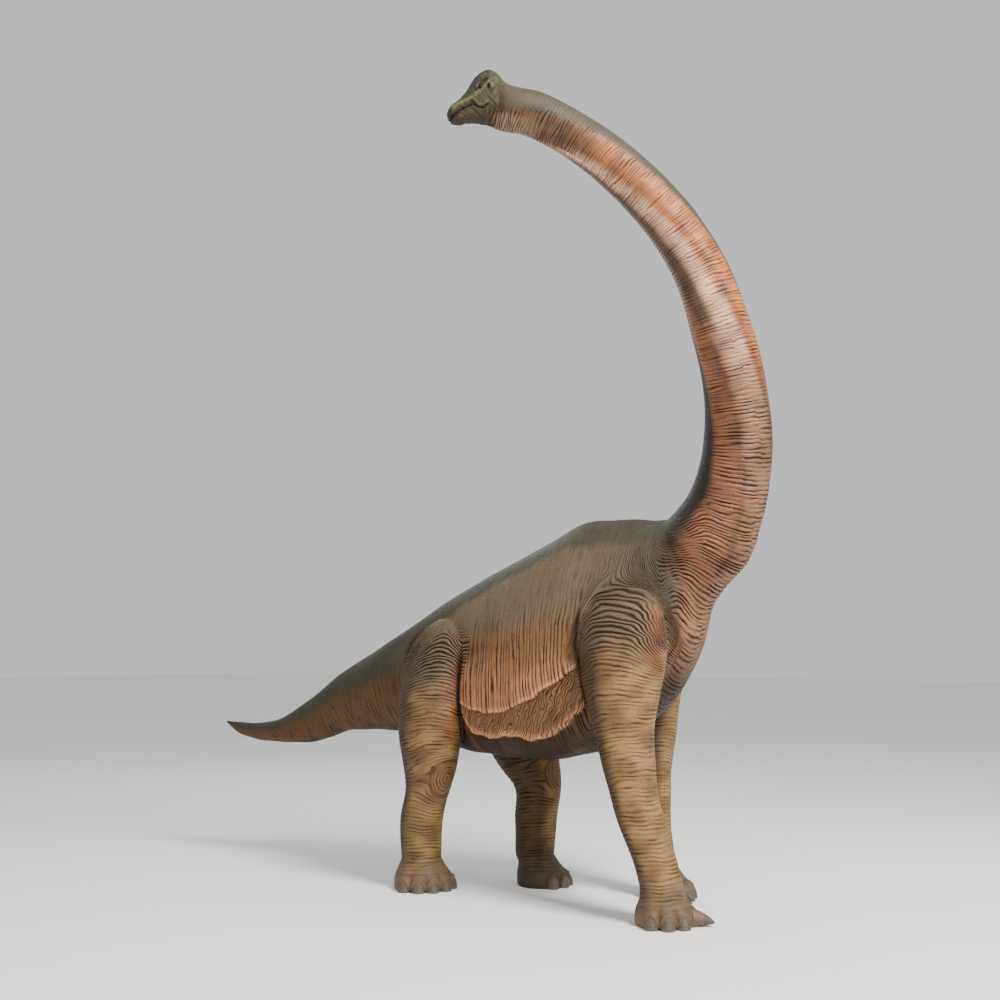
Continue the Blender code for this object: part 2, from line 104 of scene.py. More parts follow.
def area_light(name, place, side, power, colour):
    """A square light of the given side, turned from its place towards the middle of the body."""
    data = bpy.data.lights.new(name, "AREA")
    data.shape = "SQUARE"
    data.size = side
    data.energy = power
    data.color = colour
    light = new_object(name, data)
    light.location = place
    away = np.array(place, float) - np.array(MIDDLE_OF_BODY)
    flat = math.hypot(away[0], away[1])
    light.rotation_euler = (math.atan2(flat, away[2]), 0.0, math.atan2(away[1], away[0]) + math.pi / 2)


floor = new_object("floor", plain_floor(FLOOR_HALF_SIDE))
paper = bpy.data.materials.new("pale_paper")
paper.use_nodes = True
paper_shader = paper.node_tree.nodes["Principled BSDF"]
paper_shader.inputs["Base Color"].default_value = PAPER_TONE
paper_shader.inputs["Roughness"].default_value = PAPER_ROUGHNESS
floor.data.materials.append(paper)
for light in LIGHTS:
    area_light(*light)

world = bpy.data.worlds.new("studio")
bpy.context.scene.world = world
world.use_nodes = True
background = world.node_tree.nodes["Background"]
background.inputs["Color"].default_value = (1.0, 1.0, 1.0, 1.0)
background.inputs["Strength"].default_value = WORLD_STRENGTH

# %% [markdown]
# The body is drawn along one line, the spine, from the tip of the tail to the snout. Every row
# below is a section across that line. A cubic curve through the rows gives the sections between
# them, so the form stays smooth without a subdivision surface.

# %% Rows of the body
MIDDLE = np.array([-0.8915, -0.379, 0.0])    # the floor point under the middle of the statue

# upright sections: x, height of the back, height where it is widest, height of the belly, half width
TAIL_AND_TRUNK = (
    (-3.25, 1.042, 1.030, 1.016, 0.012),
    (-3.11, 1.036, 0.990, 0.942, 0.036),
    (-2.92, 1.036, 0.975, 0.905, 0.056),
    (-2.66, 1.070, 0.985, 0.893, 0.080),
    (-2.30, 1.242, 1.085, 0.910, 0.132),
    (-1.95, 1.452, 1.235, 1.000, 0.185),
    (-1.60, 1.628, 1.365, 1.025, 0.245),
    (-1.25, 1.805, 1.440, 1.000, 0.290),
    (-0.90, 1.996, 1.470, 0.920, 0.330),
    (-0.70, 2.085, 1.465, 0.898, 0.358),
    (-0.50, 2.170, 1.450, 0.885, 0.415),
    (-0.12, 2.320, 1.440, 0.885, 0.495),
    (0.12, 2.432, 1.470, 0.930, 0.490),
    (0.36, 2.440, 1.540, 1.010, 0.450),
    (0.54, 2.430, 1.640, 1.130, 0.400),
)
# leaning sections: x and z on the back, x and z on the chest, how far down it is widest, half width
SHOULDERS = (
    (0.635, 2.422, 0.745, 1.330, 0.52, 0.345),
    (0.695, 2.422, 0.890, 1.590, 0.50, 0.305),
    (0.730, 2.422, 0.985, 1.870, 0.50, 0.275),
)
# round sections: centre and radius
NECK = (
    (0.985, -0.015, 2.270, 0.277),
    (1.112, -0.029, 2.458, 0.240),
    (1.209, -0.070, 2.695, 0.219),
    (1.257, -0.120, 2.931, 0.207),
    (1.270, -0.182, 3.167, 0.195),
    (1.257, -0.256, 3.402, 0.189),
    (1.220, -0.335, 3.639, 0.181),
    (1.164, -0.414, 3.877, 0.169),
    (1.059, -0.516, 4.118, 0.160),
    (0.901, -0.648, 4.362, 0.153),
    (0.682, -0.817, 4.608, 0.141),
    (0.506, -0.946, 4.751, 0.134),
    (0.360, -1.054, 4.837, 0.137),
)
NECK_TWIST = (math.radians(28), math.radians(180))    # how its back is turned, at chest and head
NECK_FLAT = (1.02, 0.97)          # half depth and half width of the neck, as shares of its radius
NECK_ACROSS = np.array([-0.568, 0.823, 0.0])          # level, across the plane that it bends in
# upright sections of the head: distance ahead of the nape, top, widest, bottom, half width
HEAD = (
    (0.000, 5.026, 4.870, 4.728, 0.128),
    (0.045, 5.085, 4.880, 4.738, 0.106),
    (0.092, 5.113, 4.885, 4.760, 0.096),
    (0.140, 5.100, 4.880, 4.770, 0.088),
    (0.188, 5.058, 4.870, 4.776, 0.076),
    (0.237, 4.975, 4.850, 4.776, 0.067),
    (0.286, 4.915, 4.835, 4.766, 0.065),
    (0.330, 4.880, 4.825, 4.780, 0.050),
    (0.352, 4.850, 4.822, 4.800, 0.022),
)
HEAD_ROOT = np.array([0.232, -1.136, 0.0])
HEAD_AHEAD = np.array([-0.821, -0.571, 0.0])
HEAD_LEFT = np.array([0.571, -0.821, 0.0])
CREST_PINCH = 0.30                # how much the dome of the head narrows towards its top
CREST_START = 0.05                # distance past the nape over which that sets in
print("rows along the spine:", len(TAIL_AND_TRUNK) + len(SHOULDERS) + len(NECK) + len(HEAD))


# %% Curves and smooth steps
def unit(v):
    """The same direction, one long, for one vector or a stack of them."""
    v = np.asarray(v, float)
    return v / np.linalg.norm(v, axis=-1, keepdims=True)


def step(low, high, value):
    """0 below low, 1 above high and a smooth rise between them."""
    t = np.clip((value - low) / (high - low), 0.0, 1.0)
    return t * t * (3 - 2 * t)


def between(value, start, full, fall, end):
    """1 from full to fall, with a smooth rise before it from start and a smooth fall after it to end."""
    return step(start, full, value) * (1 - step(fall, end, value))


def bell(distance, width):
    """exp(-(distance / width)^2): 1 at no distance, falling off evenly on both sides."""
    return np.exp(-(distance / width) ** 2)


def read(knots, values, at):
    """Straight lines through values at knots, read at any points."""
    return np.interp(at, knots, values)


def smooth(knots, rows, t):
    """Cubic curve through rows at knots, read at t; each slope is the weighted mean of its neighbours'."""
    knots, rows = np.asarray(knots, float), np.asarray(rows, float)
    t = np.atleast_1d(t)
    width = np.diff(knots)
    slope = np.diff(rows, axis=0) / width[:, None]
    inner = (slope[:-1] * width[1:, None] + slope[1:] * width[:-1, None])
    inner = inner / (width[1:] + width[:-1])[:, None]
    slopes = np.vstack([slope[:1], inner, slope[-1:]])
    i = np.clip(np.searchsorted(knots, t, side="right") - 1, 0, len(width) - 1)
    h = width[i][:, None]
    u = ((t - knots[i]) / width[i])[:, None]
    rise = rows[i + 1] - rows[i]
    return (rows[i] + u * h * slopes[i] + u * u * (3 * rise - h * (2 * slopes[i] + slopes[i + 1]))
            + u ** 3 * (h * (slopes[i] + slopes[i + 1]) - 2 * rise))


def upright(x, back, widest, belly, half_width):
    """A section of tail or trunk: back point, belly point, left side, widest share, half width."""
    share = (back - widest) / (back - belly)
    return np.array([x, 0, back, x, 0, belly, 0, 1, 0, share, half_width])


def fanned(x_back, z_back, x_chest, z_chest, share, half_width):
    """A shoulder section that leans, in the same form."""
    return np.array([x_back, 0, z_back, x_chest, 0, z_chest, 0, 1, 0, share, half_width])


def neck_sections():
    """Round sections square to the neck, whose back turns from the rear of the neck to its top."""
    centre = np.array([row[:3] for row in NECK])
    radius = np.array([row[3] for row in NECK])[:, None]
    ahead = unit(np.gradient(centre, axis=0))
    inner = unit(np.cross(ahead, NECK_ACROSS))
    across = unit(np.cross(inner, ahead))
    turn = np.linspace(*NECK_TWIST, len(NECK))[:, None]
    back = np.cos(turn) * inner + np.sin(turn) * across
    left = unit(np.cross(back, ahead))
    reach = back * radius * NECK_FLAT[0]
    share = np.full((len(NECK), 1), 0.5)
    return list(np.hstack([centre + reach, centre - reach, left, share, radius * NECK_FLAT[1]]))


def head_section(ahead, top, widest, bottom, half_width):
    """An upright section of the head, in the same form as the trunk's."""
    foot = HEAD_ROOT + HEAD_AHEAD * ahead
    share = (top - widest) / (top - bottom)
    return np.array([foot[0], foot[1], top, foot[0], foot[1], bottom, *HEAD_LEFT, share, half_width])


SPINE = np.array([upright(*row) for row in TAIL_AND_TRUNK] + [fanned(*row) for row in SHOULDERS]
                 + neck_sections() + [head_section(*row) for row in HEAD])
CENTRES = (SPINE[:, 0:3] + SPINE[:, 3:6]) / 2
SPINE_AT = np.concatenate([[0.0], np.cumsum(np.linalg.norm(np.diff(CENTRES, axis=0), axis=1))])
HEAD_START = SPINE_AT[-len(HEAD)]
SPINE_END = SPINE_AT[-1]
print("length along the spine:", round(float(SPINE_END), 3), "m")


# %% [markdown]
# A section is an egg: half an ellipse above its widest height and another half below it. A point
# of the skin is then found from two numbers, its distance along the spine and its turn round the
# section, which is zero on the back and half a turn on the belly.


# %% The spine's surface
MARKS_ALONG = 420                 # section planes that a point is tried against
BATCH = 20000                     # points tried at a time, to spare memory


def sections(along):
    """Where the sections are widest, their up and left directions, reach up and down, half width."""
    row = smooth(SPINE_AT, SPINE, along)
    back, belly, left = row[:, 0:3] - MIDDLE, row[:, 3:6] - MIDDLE, unit(row[:, 6:9])
    share, half_width = row[:, 9], row[:, 10]
    up = unit(back - belly)
    depth = np.linalg.norm(back - belly, axis=1)
    return back + (belly - back) * share[:, None], up, left, depth * share, depth * (1 - share), half_width


def spine_surface(along, turn):
    """widest + left * half width * sin(turn) * pinch + up * reach * cos(turn), for arrays of one shape."""
    shape = along.shape
    middle, up, left, above, below, half_width = sections(along.ravel())
    turn = turn.ravel()
    lift, out = np.cos(turn), np.sin(turn)
    crest = np.clip((along.ravel() - HEAD_START) / CREST_START, 0, 1)
    pinch = 1 - CREST_PINCH * crest * np.clip(lift, 0, 1) ** 2
    points = (middle + left * (half_width * out * pinch)[:, None]
              + up * (np.where(lift > 0, above, below) * lift)[:, None])
    return points.reshape(*shape, 3)


def find_along(points):
    """Distance along the spine of the section plane that holds each point, nearest centre first."""
    marks = np.linspace(0.0, SPINE_END, MARKS_ALONG)
    middle, up, left, above, below, _ = sections(marks)
    centre = middle + up * ((above - below) / 2)[:, None]
    normal = unit(np.cross(left, up))
    offset = np.einsum("ij,ij->i", centre, normal)
    square = np.einsum("ij,ij->i", centre, centre)
    found = np.zeros(len(points))
    for start in range(0, len(points), BATCH):
        part = points[start:start + BATCH]
        ahead = part @ normal.T - offset
        distance = square - 2 * part @ centre.T
        crossing = (ahead[:, :-1] > 0) & (ahead[:, 1:] <= 0)
        cost = np.where(crossing, distance[:, :-1], np.inf)
        at = np.argmin(cost, axis=1)
        row = np.arange(len(part))
        none = ~np.isfinite(cost[row, at])
        before, after = ahead[row, at], ahead[row, at + 1]
        share = before / np.where(none, 1.0, before - after)
        share = np.where(none, 0.0, share)
        at = np.where(none, np.argmin(distance, axis=1), at)
        found[start:start + len(part)] = (at + share) * (marks[1] - marks[0])
    return found


def spine_position(points):
    """Distance along, turn round and height above the spine's skin, for any points near it."""
    along = find_along(points)
    middle, up, left, above, below, half_width = sections(along)
    away = points - middle
    lift = np.einsum("ij,ij->i", away, up)
    out = np.einsum("ij,ij->i", away, left)
    tall = lift / np.where(lift > 0, above, below)
    wide = out / half_width
    ratio = np.maximum(np.hypot(tall, wide), 1e-6)
    return along, np.arctan2(wide, tall), np.hypot(lift, out) * (1 - 1 / ratio)


check = spine_surface(np.array([1.0, 3.3, 4.8, 6.9]), np.array([0.4, -1.5, 2.0, -2.8]))
found_along, found_turn, found_height = spine_position(check)
print("round trip:", np.round([found_along, found_turn, found_height], 3).tolist())

# %% [markdown]
# Each leg is a stack of level ellipses, again read from a cubic curve through its rows. The foot
# takes over at the ankle: its outline is the pad's reach plus one smooth bump for every toe.

# %% Rows of the legs
# from top to ankle: height, x, distance from the middle plane, half length, half width
NEAR_FORE = (
    (2.02, 0.555, 0.290, 0.070, 0.040),
    (1.96, 0.560, 0.308, 0.160, 0.100),
    (1.85, 0.570, 0.330, 0.245, 0.155),
    (1.70, 0.577, 0.352, 0.285, 0.195),
    (1.50, 0.580, 0.370, 0.270, 0.212),
    (1.30, 0.577, 0.380, 0.225, 0.198),
    (1.00, 0.604, 0.386, 0.172, 0.168),
    (0.77, 0.645, 0.384, 0.152, 0.151),
    (0.54, 0.712, 0.380, 0.142, 0.141),
    (0.37, 0.777, 0.372, 0.131, 0.131),
    (0.205, 0.818, 0.362, 0.128, 0.130),
)
FAR_FORE = (
    (2.02, 0.455, 0.290, 0.070, 0.040),
    (1.96, 0.455, 0.308, 0.160, 0.100),
    (1.85, 0.450, 0.330, 0.235, 0.155),
    (1.70, 0.430, 0.352, 0.270, 0.195),
    (1.50, 0.388, 0.372, 0.255, 0.210),
    (1.30, 0.348, 0.386, 0.222, 0.198),
    (1.00, 0.345, 0.396, 0.172, 0.168),
    (0.77, 0.334, 0.400, 0.152, 0.151),
    (0.54, 0.340, 0.402, 0.142, 0.141),
    (0.37, 0.355, 0.404, 0.131, 0.131),
    (0.205, 0.385, 0.406, 0.128, 0.130),
)
NEAR_HIND = (
    (1.80, -0.860, 0.262, 0.060, 0.040),
    (1.74, -0.865, 0.275, 0.145, 0.095),
    (1.62, -0.872, 0.296, 0.222, 0.160),
    (1.45, -0.890, 0.306, 0.246, 0.198),
    (1.25, -0.922, 0.308, 0.244, 0.210),
    (1.06, -0.952, 0.300, 0.230, 0.203),
    (0.86, -0.962, 0.294, 0.193, 0.182),
    (0.66, -0.985, 0.286, 0.150, 0.150),
    (0.455, -1.045, 0.276, 0.146, 0.145),
    (0.205, -1.056, 0.262, 0.134, 0.138),
)
FAR_HIND = (
    (1.80, -0.800, 0.262, 0.060, 0.040),
    (1.74, -0.795, 0.275, 0.145, 0.095),
    (1.62, -0.780, 0.290, 0.215, 0.150),
    (1.45, -0.755, 0.300, 0.245, 0.190),
    (1.25, -0.700, 0.304, 0.250, 0.205),
    (1.06, -0.645, 0.304, 0.262, 0.205),
    (0.86, -0.585, 0.302, 0.250, 0.184),
    (0.66, -0.482, 0.300, 0.166, 0.156),
    (0.455, -0.492, 0.302, 0.148, 0.147),
    (0.205, -0.508, 0.306, 0.134, 0.136),
)
# foot: height, share of the pad's reach, share of the way from ankle to sole, how much toes show
FOOT_ROWS = (
    (0.150, 0.880, 0.55, 0.15),
    (0.095, 0.970, 0.85, 0.50),
    (0.045, 1.000, 1.00, 1.00),
    (0.012, 0.990, 1.00, 1.00),
    (0.000, 0.950, 1.00, 1.00),
)
ANKLE = 0.205
FOOT_REACH = 0.33                 # no point of a foot is farther out from the ankle
FOOT_LAP = 0.02                   # the leg's solid reaches this far down into the foot's
TOE_SWELL = 0.020                 # how far each toe bulges from the pad
TOE_SPREAD = math.radians(14)
THUMB_SWELL = 0.058
FORE_TOES = (-88.0, -54.0, -20.0)     # degrees from straight ahead, minus towards the outer side
FORE_THUMB = 24.0
HIND_TOES = (-92.0, -61.0, -31.0, 0.0, 32.0)
# leg: rows, side (-1 right, 1 left), sole's x and y, sole's reach, toes, thumb
LEGS = {
    "right_fore": (NEAR_FORE, -1, (0.820, 0.352), 0.170, FORE_TOES, FORE_THUMB),
    "left_fore": (FAR_FORE, 1, (0.440, 0.412), 0.168, FORE_TOES, FORE_THUMB),
    "right_hind": (NEAR_HIND, -1, (-1.052, 0.250), 0.194, HIND_TOES, None),
    "left_hind": (FAR_HIND, 1, (-0.450, 0.308), 0.172, HIND_TOES, None),
}


# %% Surfaces of legs and feet
def leg_section(leg, height):
    """Centre x and y, half length and half width of a leg at the given heights."""
    rows, side = LEGS[leg][:2]
    knots = -np.array([row[0] for row in rows])
    x, y, half_length, half_width = smooth(knots, [row[1:] for row in rows], -np.atleast_1d(height)).T
    return x - MIDDLE[0], side * y - MIDDLE[1], half_length, half_width


def leg_surface(leg, height, turn):
    """centre + (half length * cos(turn), half width * sin(turn)), level at each height."""
    x, y, half_length, half_width = (v[:, None] for v in leg_section(leg, height))
    flat = np.broadcast_to(height[:, None], (len(height), len(turn)))
    return np.stack([x + half_length * np.cos(turn), y + half_width * np.sin(turn), flat], axis=-1)


def toe_bumps(leg, turn):
    """How far the toes reach past the pad: swell * exp(-((turn - toe) / spread)^2), the largest of them."""
    toes, thumb = LEGS[leg][4:6]
    out = np.zeros_like(turn)
    for toe in toes:
        out = np.maximum(out, TOE_SWELL * bell(turn - math.radians(toe), TOE_SPREAD))
    if thumb is not None:
        out = np.maximum(out, THUMB_SWELL * bell(turn - math.radians(thumb), TOE_SPREAD))
    return out


def foot_surface(leg, height, turn):
    """Pad's reach and toes at each height round a middle that moves from ankle to sole."""
    rows, side, sole, reach = LEGS[leg][:4]
    _, x, y, half_length, half_width = rows[-1]
    ankle = half_length * half_width / np.hypot(half_width * np.cos(turn), half_length * np.sin(turn))
    knots = [-ANKLE] + [-row[0] for row in FOOT_ROWS]
    out = [ankle] + [reach * row[1] + toe_bumps(leg, turn) * row[3] for row in FOOT_ROWS]
    out = smooth(knots, np.array(out), -height)
    shift = smooth(knots, [[0.0]] + [[row[2]] for row in FOOT_ROWS], -height)
    middle = np.array([x, y]) + (np.array(sole) - (x, y)) * shift
    flat = np.broadcast_to(height[:, None], out.shape)
    return np.stack([middle[:, :1] + out * np.cos(turn) - MIDDLE[0],
                     side * (middle[:, 1:] - out * np.sin(turn)) - MIDDLE[1], flat], axis=-1)


def leg_position(points, leg):
    """Turn round a leg and height above its skin, for any points; far above the leg it is far outside."""
    rows = LEGS[leg][0]
    height = np.clip(points[:, 2], ANKLE, rows[0][0])
    x, y, half_length, half_width = leg_section(leg, height)
    ahead, out = points[:, 0] - x, points[:, 1] - y
    ratio = np.maximum(np.hypot(ahead / half_length, out / half_width), 1e-6)
    outside = np.hypot(ahead, out) * (1 - 1 / ratio)
    in_foot = (points[:, 2] < ANKLE + FOOT_LAP) & (np.hypot(ahead, out) < FOOT_REACH)
    outside = np.where(in_foot, -1.0, np.maximum(outside, points[:, 2] - rows[0][0]))
    return np.arctan2(out / half_width, ahead / half_length), outside


print("legs:", list(LEGS))

# %% [markdown]
# Trunk, tail and legs grow into each other, so they can't be one grid. The way used here is to
# close each grid into a solid and let the voxel remesh melt the overlapping solids into a single
# shell of small even quads. The neck leaves this shell at a plane across it and goes on as a grid.

# %% Melt trunk, tail and legs together
NECK_SEAM = 5.10                  # distance along the spine where the neck's own grid takes over
NECK_STUB = 0.16                  # the melted solid reaches this far past it, to be cut off
VOXEL = 0.0060
SPINE_STEP, SPINE_AROUND = 0.02, 144     # metres between the rings of the solids, points round each
LEG_RINGS, LEG_AROUND = 90, 96
FOOT_RINGS, FOOT_AROUND = 40, 160


def fan(ring, middle):
    """Triangles from a ring of points to one middle point."""
    return np.stack([ring, np.roll(ring, -1), np.full(len(ring), middle)], axis=-1)


def with_ends(grid):
    """The points of a grid of rings, and after them the middles of its first and its last ring."""
    return np.vstack([grid.reshape(-1, 3), grid[0].mean(axis=0), grid[-1].mean(axis=0)])


def tube_faces(rows, around):
    """Quads between neighbouring rings of a closed tube, and a fan to a middle point at each end."""
    corner = np.arange(rows * around).reshape(rows, around)
    turned = np.roll(corner, -1, axis=1)
    quads = np.stack([corner[:-1], turned[:-1], turned[1:], corner[1:]], axis=-1).reshape(-1, 4)
    first = fan(corner[0], rows * around)[:, [1, 0, 2]]
    return quads.tolist() + first.tolist() + fan(corner[-1], rows * around + 1).tolist()


def full_turn(count):
    """Evenly spread angles round a ring."""
    return np.linspace(-math.pi, math.pi, count, endpoint=False)


spine_rows = np.arange(0.0, NECK_SEAM + NECK_STUB, SPINE_STEP)
solids = [spine_surface(*np.meshgrid(spine_rows, full_turn(SPINE_AROUND), indexing="ij"))]
for leg, (rows, *_) in LEGS.items():
    leg_heights = np.linspace(rows[0][0], ANKLE - FOOT_LAP, LEG_RINGS)
    solids.append(leg_surface(leg, leg_heights, full_turn(LEG_AROUND)))
    solids.append(foot_surface(leg, np.linspace(ANKLE, 0.0, FOOT_RINGS), full_turn(FOOT_AROUND)))

source_points, source_faces, first = [], [], 0
for grid in solids:
    source_points.append(with_ends(grid))
    source_faces += [[corner + first for corner in face] for face in tube_faces(*grid.shape[:2])]
    first += len(source_points[-1])
source = bpy.data.meshes.new("source")
source.from_pydata(np.vstack(source_points).tolist(), [], source_faces)
melting = new_object("melting", source)
remesh = melting.modifiers.new("melt", "REMESH")
remesh.mode = "VOXEL"
remesh.voxel_size = VOXEL
melted_mesh = bpy.data.meshes.new_from_object(melting.evaluated_get(bpy.context.evaluated_depsgraph_get()))
bpy.data.objects.remove(melting)
bpy.data.meshes.remove(source)
print("melted shell:", len(melted_mesh.vertices), "points,", len(melted_mesh.polygons), "faces")


# %% Read the shell into arrays
EVEN_ROUNDS, EVEN_WEIGHT = 3, 0.5          # smooths away the voxels' steps all over
FILLET_ROUNDS, FILLET_WEIGHT = 14, 0.6     # rounds the corner between leg and trunk
FILLET_REACH = 0.05               # the soft web between them, to each side of where they meet
FILLET_FROM = (0.30, 0.40)        # heights between which the web sets in, above the feet
SEAM_REACH = 0.03                 # points this far past the neck's seam are drawn back onto it


def mesh_arrays(mesh):
    """Points, edges and quads of a mesh of quads as arrays."""
    points = np.empty(len(mesh.vertices) * 3, np.float32)
    mesh.vertices.foreach_get("co", points)
    edges = np.empty(len(mesh.edges) * 2, np.int32)
    mesh.edges.foreach_get("vertices", edges)
    corners = np.empty(len(mesh.loops), np.int32)
    mesh.loops.foreach_get("vertex_index", corners)
    return points.reshape(-1, 3).astype(float), edges.reshape(-1, 2), corners.reshape(-1, 4)


def relax(points, edges, rounds, weight):
    """Move every point towards the mean of its neighbours by its weight, again and again."""
    count = len(points)
    a, b = edges.T
    degree = np.bincount(a, minlength=count) + np.bincount(b, minlength=count)
    for _ in range(rounds):
        total = np.stack([np.bincount(a, points[b, k], count) + np.bincount(b, points[a, k], count)
                          for k in range(3)], axis=1)
        points = points + weight[:, None] * (total / degree[:, None] - points)
    return points


shell, shell_edges, shell_quads = mesh_arrays(melted_mesh)
bpy.data.meshes.remove(melted_mesh)
shell = relax(shell, shell_edges, EVEN_ROUNDS, np.full(len(shell), EVEN_WEIGHT))


def limb_membership(points):
    """Distance along and turn on the spine, how far outside trunk and nearest leg, and which leg."""
    along, turn, outside = spine_position(points)
    leg_outside = np.stack([leg_position(points, leg)[1] for leg in LEGS])
    nearest = np.argmin(leg_outside, axis=0)
    return along, turn, outside, leg_outside.min(axis=0), nearest


# a soft web joins leg and trunk, and the shell ends in a clean ring of points on the neck's seam
_, _, trunk_out, leg_out, _ = limb_membership(shell)
fillet = bell(trunk_out - leg_out, FILLET_REACH) * step(*FILLET_FROM, shell[:, 2])
shell = relax(shell, shell_edges, FILLET_ROUNDS, FILLET_WEIGHT * fillet)
along = find_along(shell)
middle, up, left, _, _, _ = sections(np.full(1, NECK_SEAM))
seam_normal = unit(np.cross(left, up))[0]
past = (along > NECK_SEAM) & (along < NECK_SEAM + SEAM_REACH)
shell[past] -= ((shell[past] - middle[0]) @ seam_normal)[:, None] * seam_normal
along, turn, trunk_out, leg_out, leg_index = limb_membership(shell)
along = np.where(past, NECK_SEAM, along)
shell_triangles = np.vstack([shell_quads[:, [0, 1, 2]], shell_quads[:, [0, 2, 3]]])
shell_triangles = shell_triangles[along[shell_triangles].min(axis=1) < NECK_SEAM - 1e-4]
print("points on legs:", int((leg_out < trunk_out).sum()), "on the spine:", int((leg_out >= trunk_out).sum()))

# %% [markdown]
# The skin lies in folds that run round the body, like those of an elephant's trunk. A fold is a
# wave of one number, its phase: the distance along the spine, or the height on a leg, counted in
# folds. The wave has round ridges and narrow grooves, and slow noise bends it and lets it fade,
# so that no two folds are alike.


# %% Waves and noise
def ripple(points, wavelength, seed, waves=10):
    """Smooth noise from about -1 to 1: the scaled sum of sines in seeded random directions."""
    maker = np.random.default_rng(seed)
    direction = unit(maker.normal(size=(waves, 3))) * (2 * math.pi / wavelength)
    direction *= maker.uniform(0.7, 1.5, size=(waves, 1))
    shift = maker.uniform(0, 2 * math.pi, size=waves)
    return np.sin(points @ direction.T + shift).sum(axis=1) / math.sqrt(waves)


def ridge(phase, power):
    """0 in a narrow groove at each whole phase, 1 on the round ridge between: |sin(pi phase)|^power."""
    return np.abs(np.sin(math.pi * phase)) ** power


def streaks(across, round_it):
    """Points for a ripple that changes quickly across the folds and slowly along them."""
    return np.stack([across, 0.35 * round_it, np.zeros_like(across)], axis=-1)


# %% [markdown]
# Tables give the folds of the spine their spacing, height and painted groove shade by the distance along it.
# Round the body they fade towards the back, and the chest has more of them than the shoulders
# over it.

# %% Folds along the spine
# how far apart the folds lie along the spine, from tail tip to snout, in metres
FOLD_ALONG = (0.00, 0.97, 2.07, 2.80, 3.50, 4.00, 4.60, 5.10, 5.60, 6.30, 7.30, 7.80, 8.31)
FOLD_SPACING = (.020, .025, .029, .031, .030, .028, .0250, .0240, .0225, .0210, .0200, .0215, .022)
# how high their ridges stand, and how dark the painted shade in their grooves is
HEIGHT_ALONG = (0.0, 1.0, 2.07, 2.60, 3.30, 3.90, 4.20, 4.50, 4.90, 5.20, 5.60, 6.60, 7.50, 7.76, 8.00,
                8.07)
FOLD_HEIGHT = (.001, .0024, .0032, .0038, .0044, .0044, .0064, .0080, .0074, .0052, .0030, .0020, .0019,
               .0040, .0046, .0)
FOLD_GROOVE_SHADE = (.30, .80, .90, .85, .90, .85, 1.2, 1.40, 1.35, 1.20, .85, .66, .66, 1.0, .90, .0)
# the back is nearly smooth above this turn, in radians from the top
BACK_EDGE_ALONG = (0.0, 0.8, 2.0, 2.2, 2.4, 2.6, 3.0, 3.5, 4.0, 4.3, 4.6, 4.9, 5.3, 6.0, 7.3, 7.65, 8.0)
BACK_EDGE = (1.50, 1.60, 1.65, 1.35, 1.00, 0.76, 0.63, 0.60, 0.67, 0.86, 1.18, 1.58, 1.74, 1.72, 1.66,
             1.80, 1.88)
CHEST_FOLDS = 12                  # folds that the chest has more than the shoulders over it
RIDGE_POWER = 0.7                 # below 1 the grooves are narrow and the ridges round
RIDGE_MEAN = 0.75                 # taken off, so that the folds push in as much as out

# stretches of the spine by distance along it: where each sets in, is full, begins to end, is over
FLANK = (2.30, 2.80, 3.60, 4.10)
UPPER_FLANK = (2.20, 2.70, 3.50, 4.10)
BARREL = (2.20, 2.70, 3.80, 4.20)
WITHERS = (3.85, 4.35, 4.50, 5.05)
TAIL_END = (1.20, 2.60)           # here the tail's tilt ends
NAPE = (7.60, 7.85)               # here the nape's tilt sets in
NECK_CALM = (0.02, 0.16)          # this near the neck's seam no noise bends the folds
# how far the folds lean along the spine from the back down to the belly, in metres
TAIL_TILT, FLANK_TILT, WITHERS_TILT, NAPE_TILT = -0.17, -0.10, 0.23, -0.09

marks = np.linspace(0.0, SPINE_END, 2000)
counted = np.cumsum(1 / read(FOLD_ALONG, FOLD_SPACING, marks)) * (marks[1] - marks[0])
NECK_SEAM_PHASE = round(float(read(marks, counted, NECK_SEAM)))
print("folds from tail to snout:", int(counted[-1]))


def spine_phase(points, along, turn):
    """Folds counted along the spine, tilted on tail, flank and withers and bent by noise."""
    share = np.abs(turn) / math.pi
    tail = (1 - step(*TAIL_END, along)) * read((0.0, 0.6, 2.6), (0.1, 0.6, 1.0), along)
    tilt = TAIL_TILT * tail * (share - 0.5)
    tilt = tilt + FLANK_TILT * between(along, *FLANK) * (share - 0.3)
    tilt = tilt + WITHERS_TILT * between(along, *WITHERS) * (1 - step(0.30, 0.62, share))
    tilt = tilt + NAPE_TILT * step(*NAPE, along) * (share - 0.4)
    phase = read(marks, counted, along + tilt)
    # the chest's share of each ring starts between these two shares of the way to the belly
    low, high = read((3.55, 4.10), (0.82, 0.50), along), read((3.55, 4.10), (1.00, 0.74), along)
    phase = phase - CHEST_FOLDS * read((4.05, 4.60), (1.0, 0.0), along) * step(low, high, share)
    calm = step(*NECK_CALM, np.abs(along - NECK_SEAM))
    bend = 0.60 * ripple(points, 0.90, 11) + 0.12 * ripple(points, 0.22, 12)
    bend = bend + 0.30 * ripple(streaks(along, turn * 0.12), 0.075, 15)
    return phase + bend * calm + (NECK_SEAM_PHASE - read(marks, counted, NECK_SEAM))


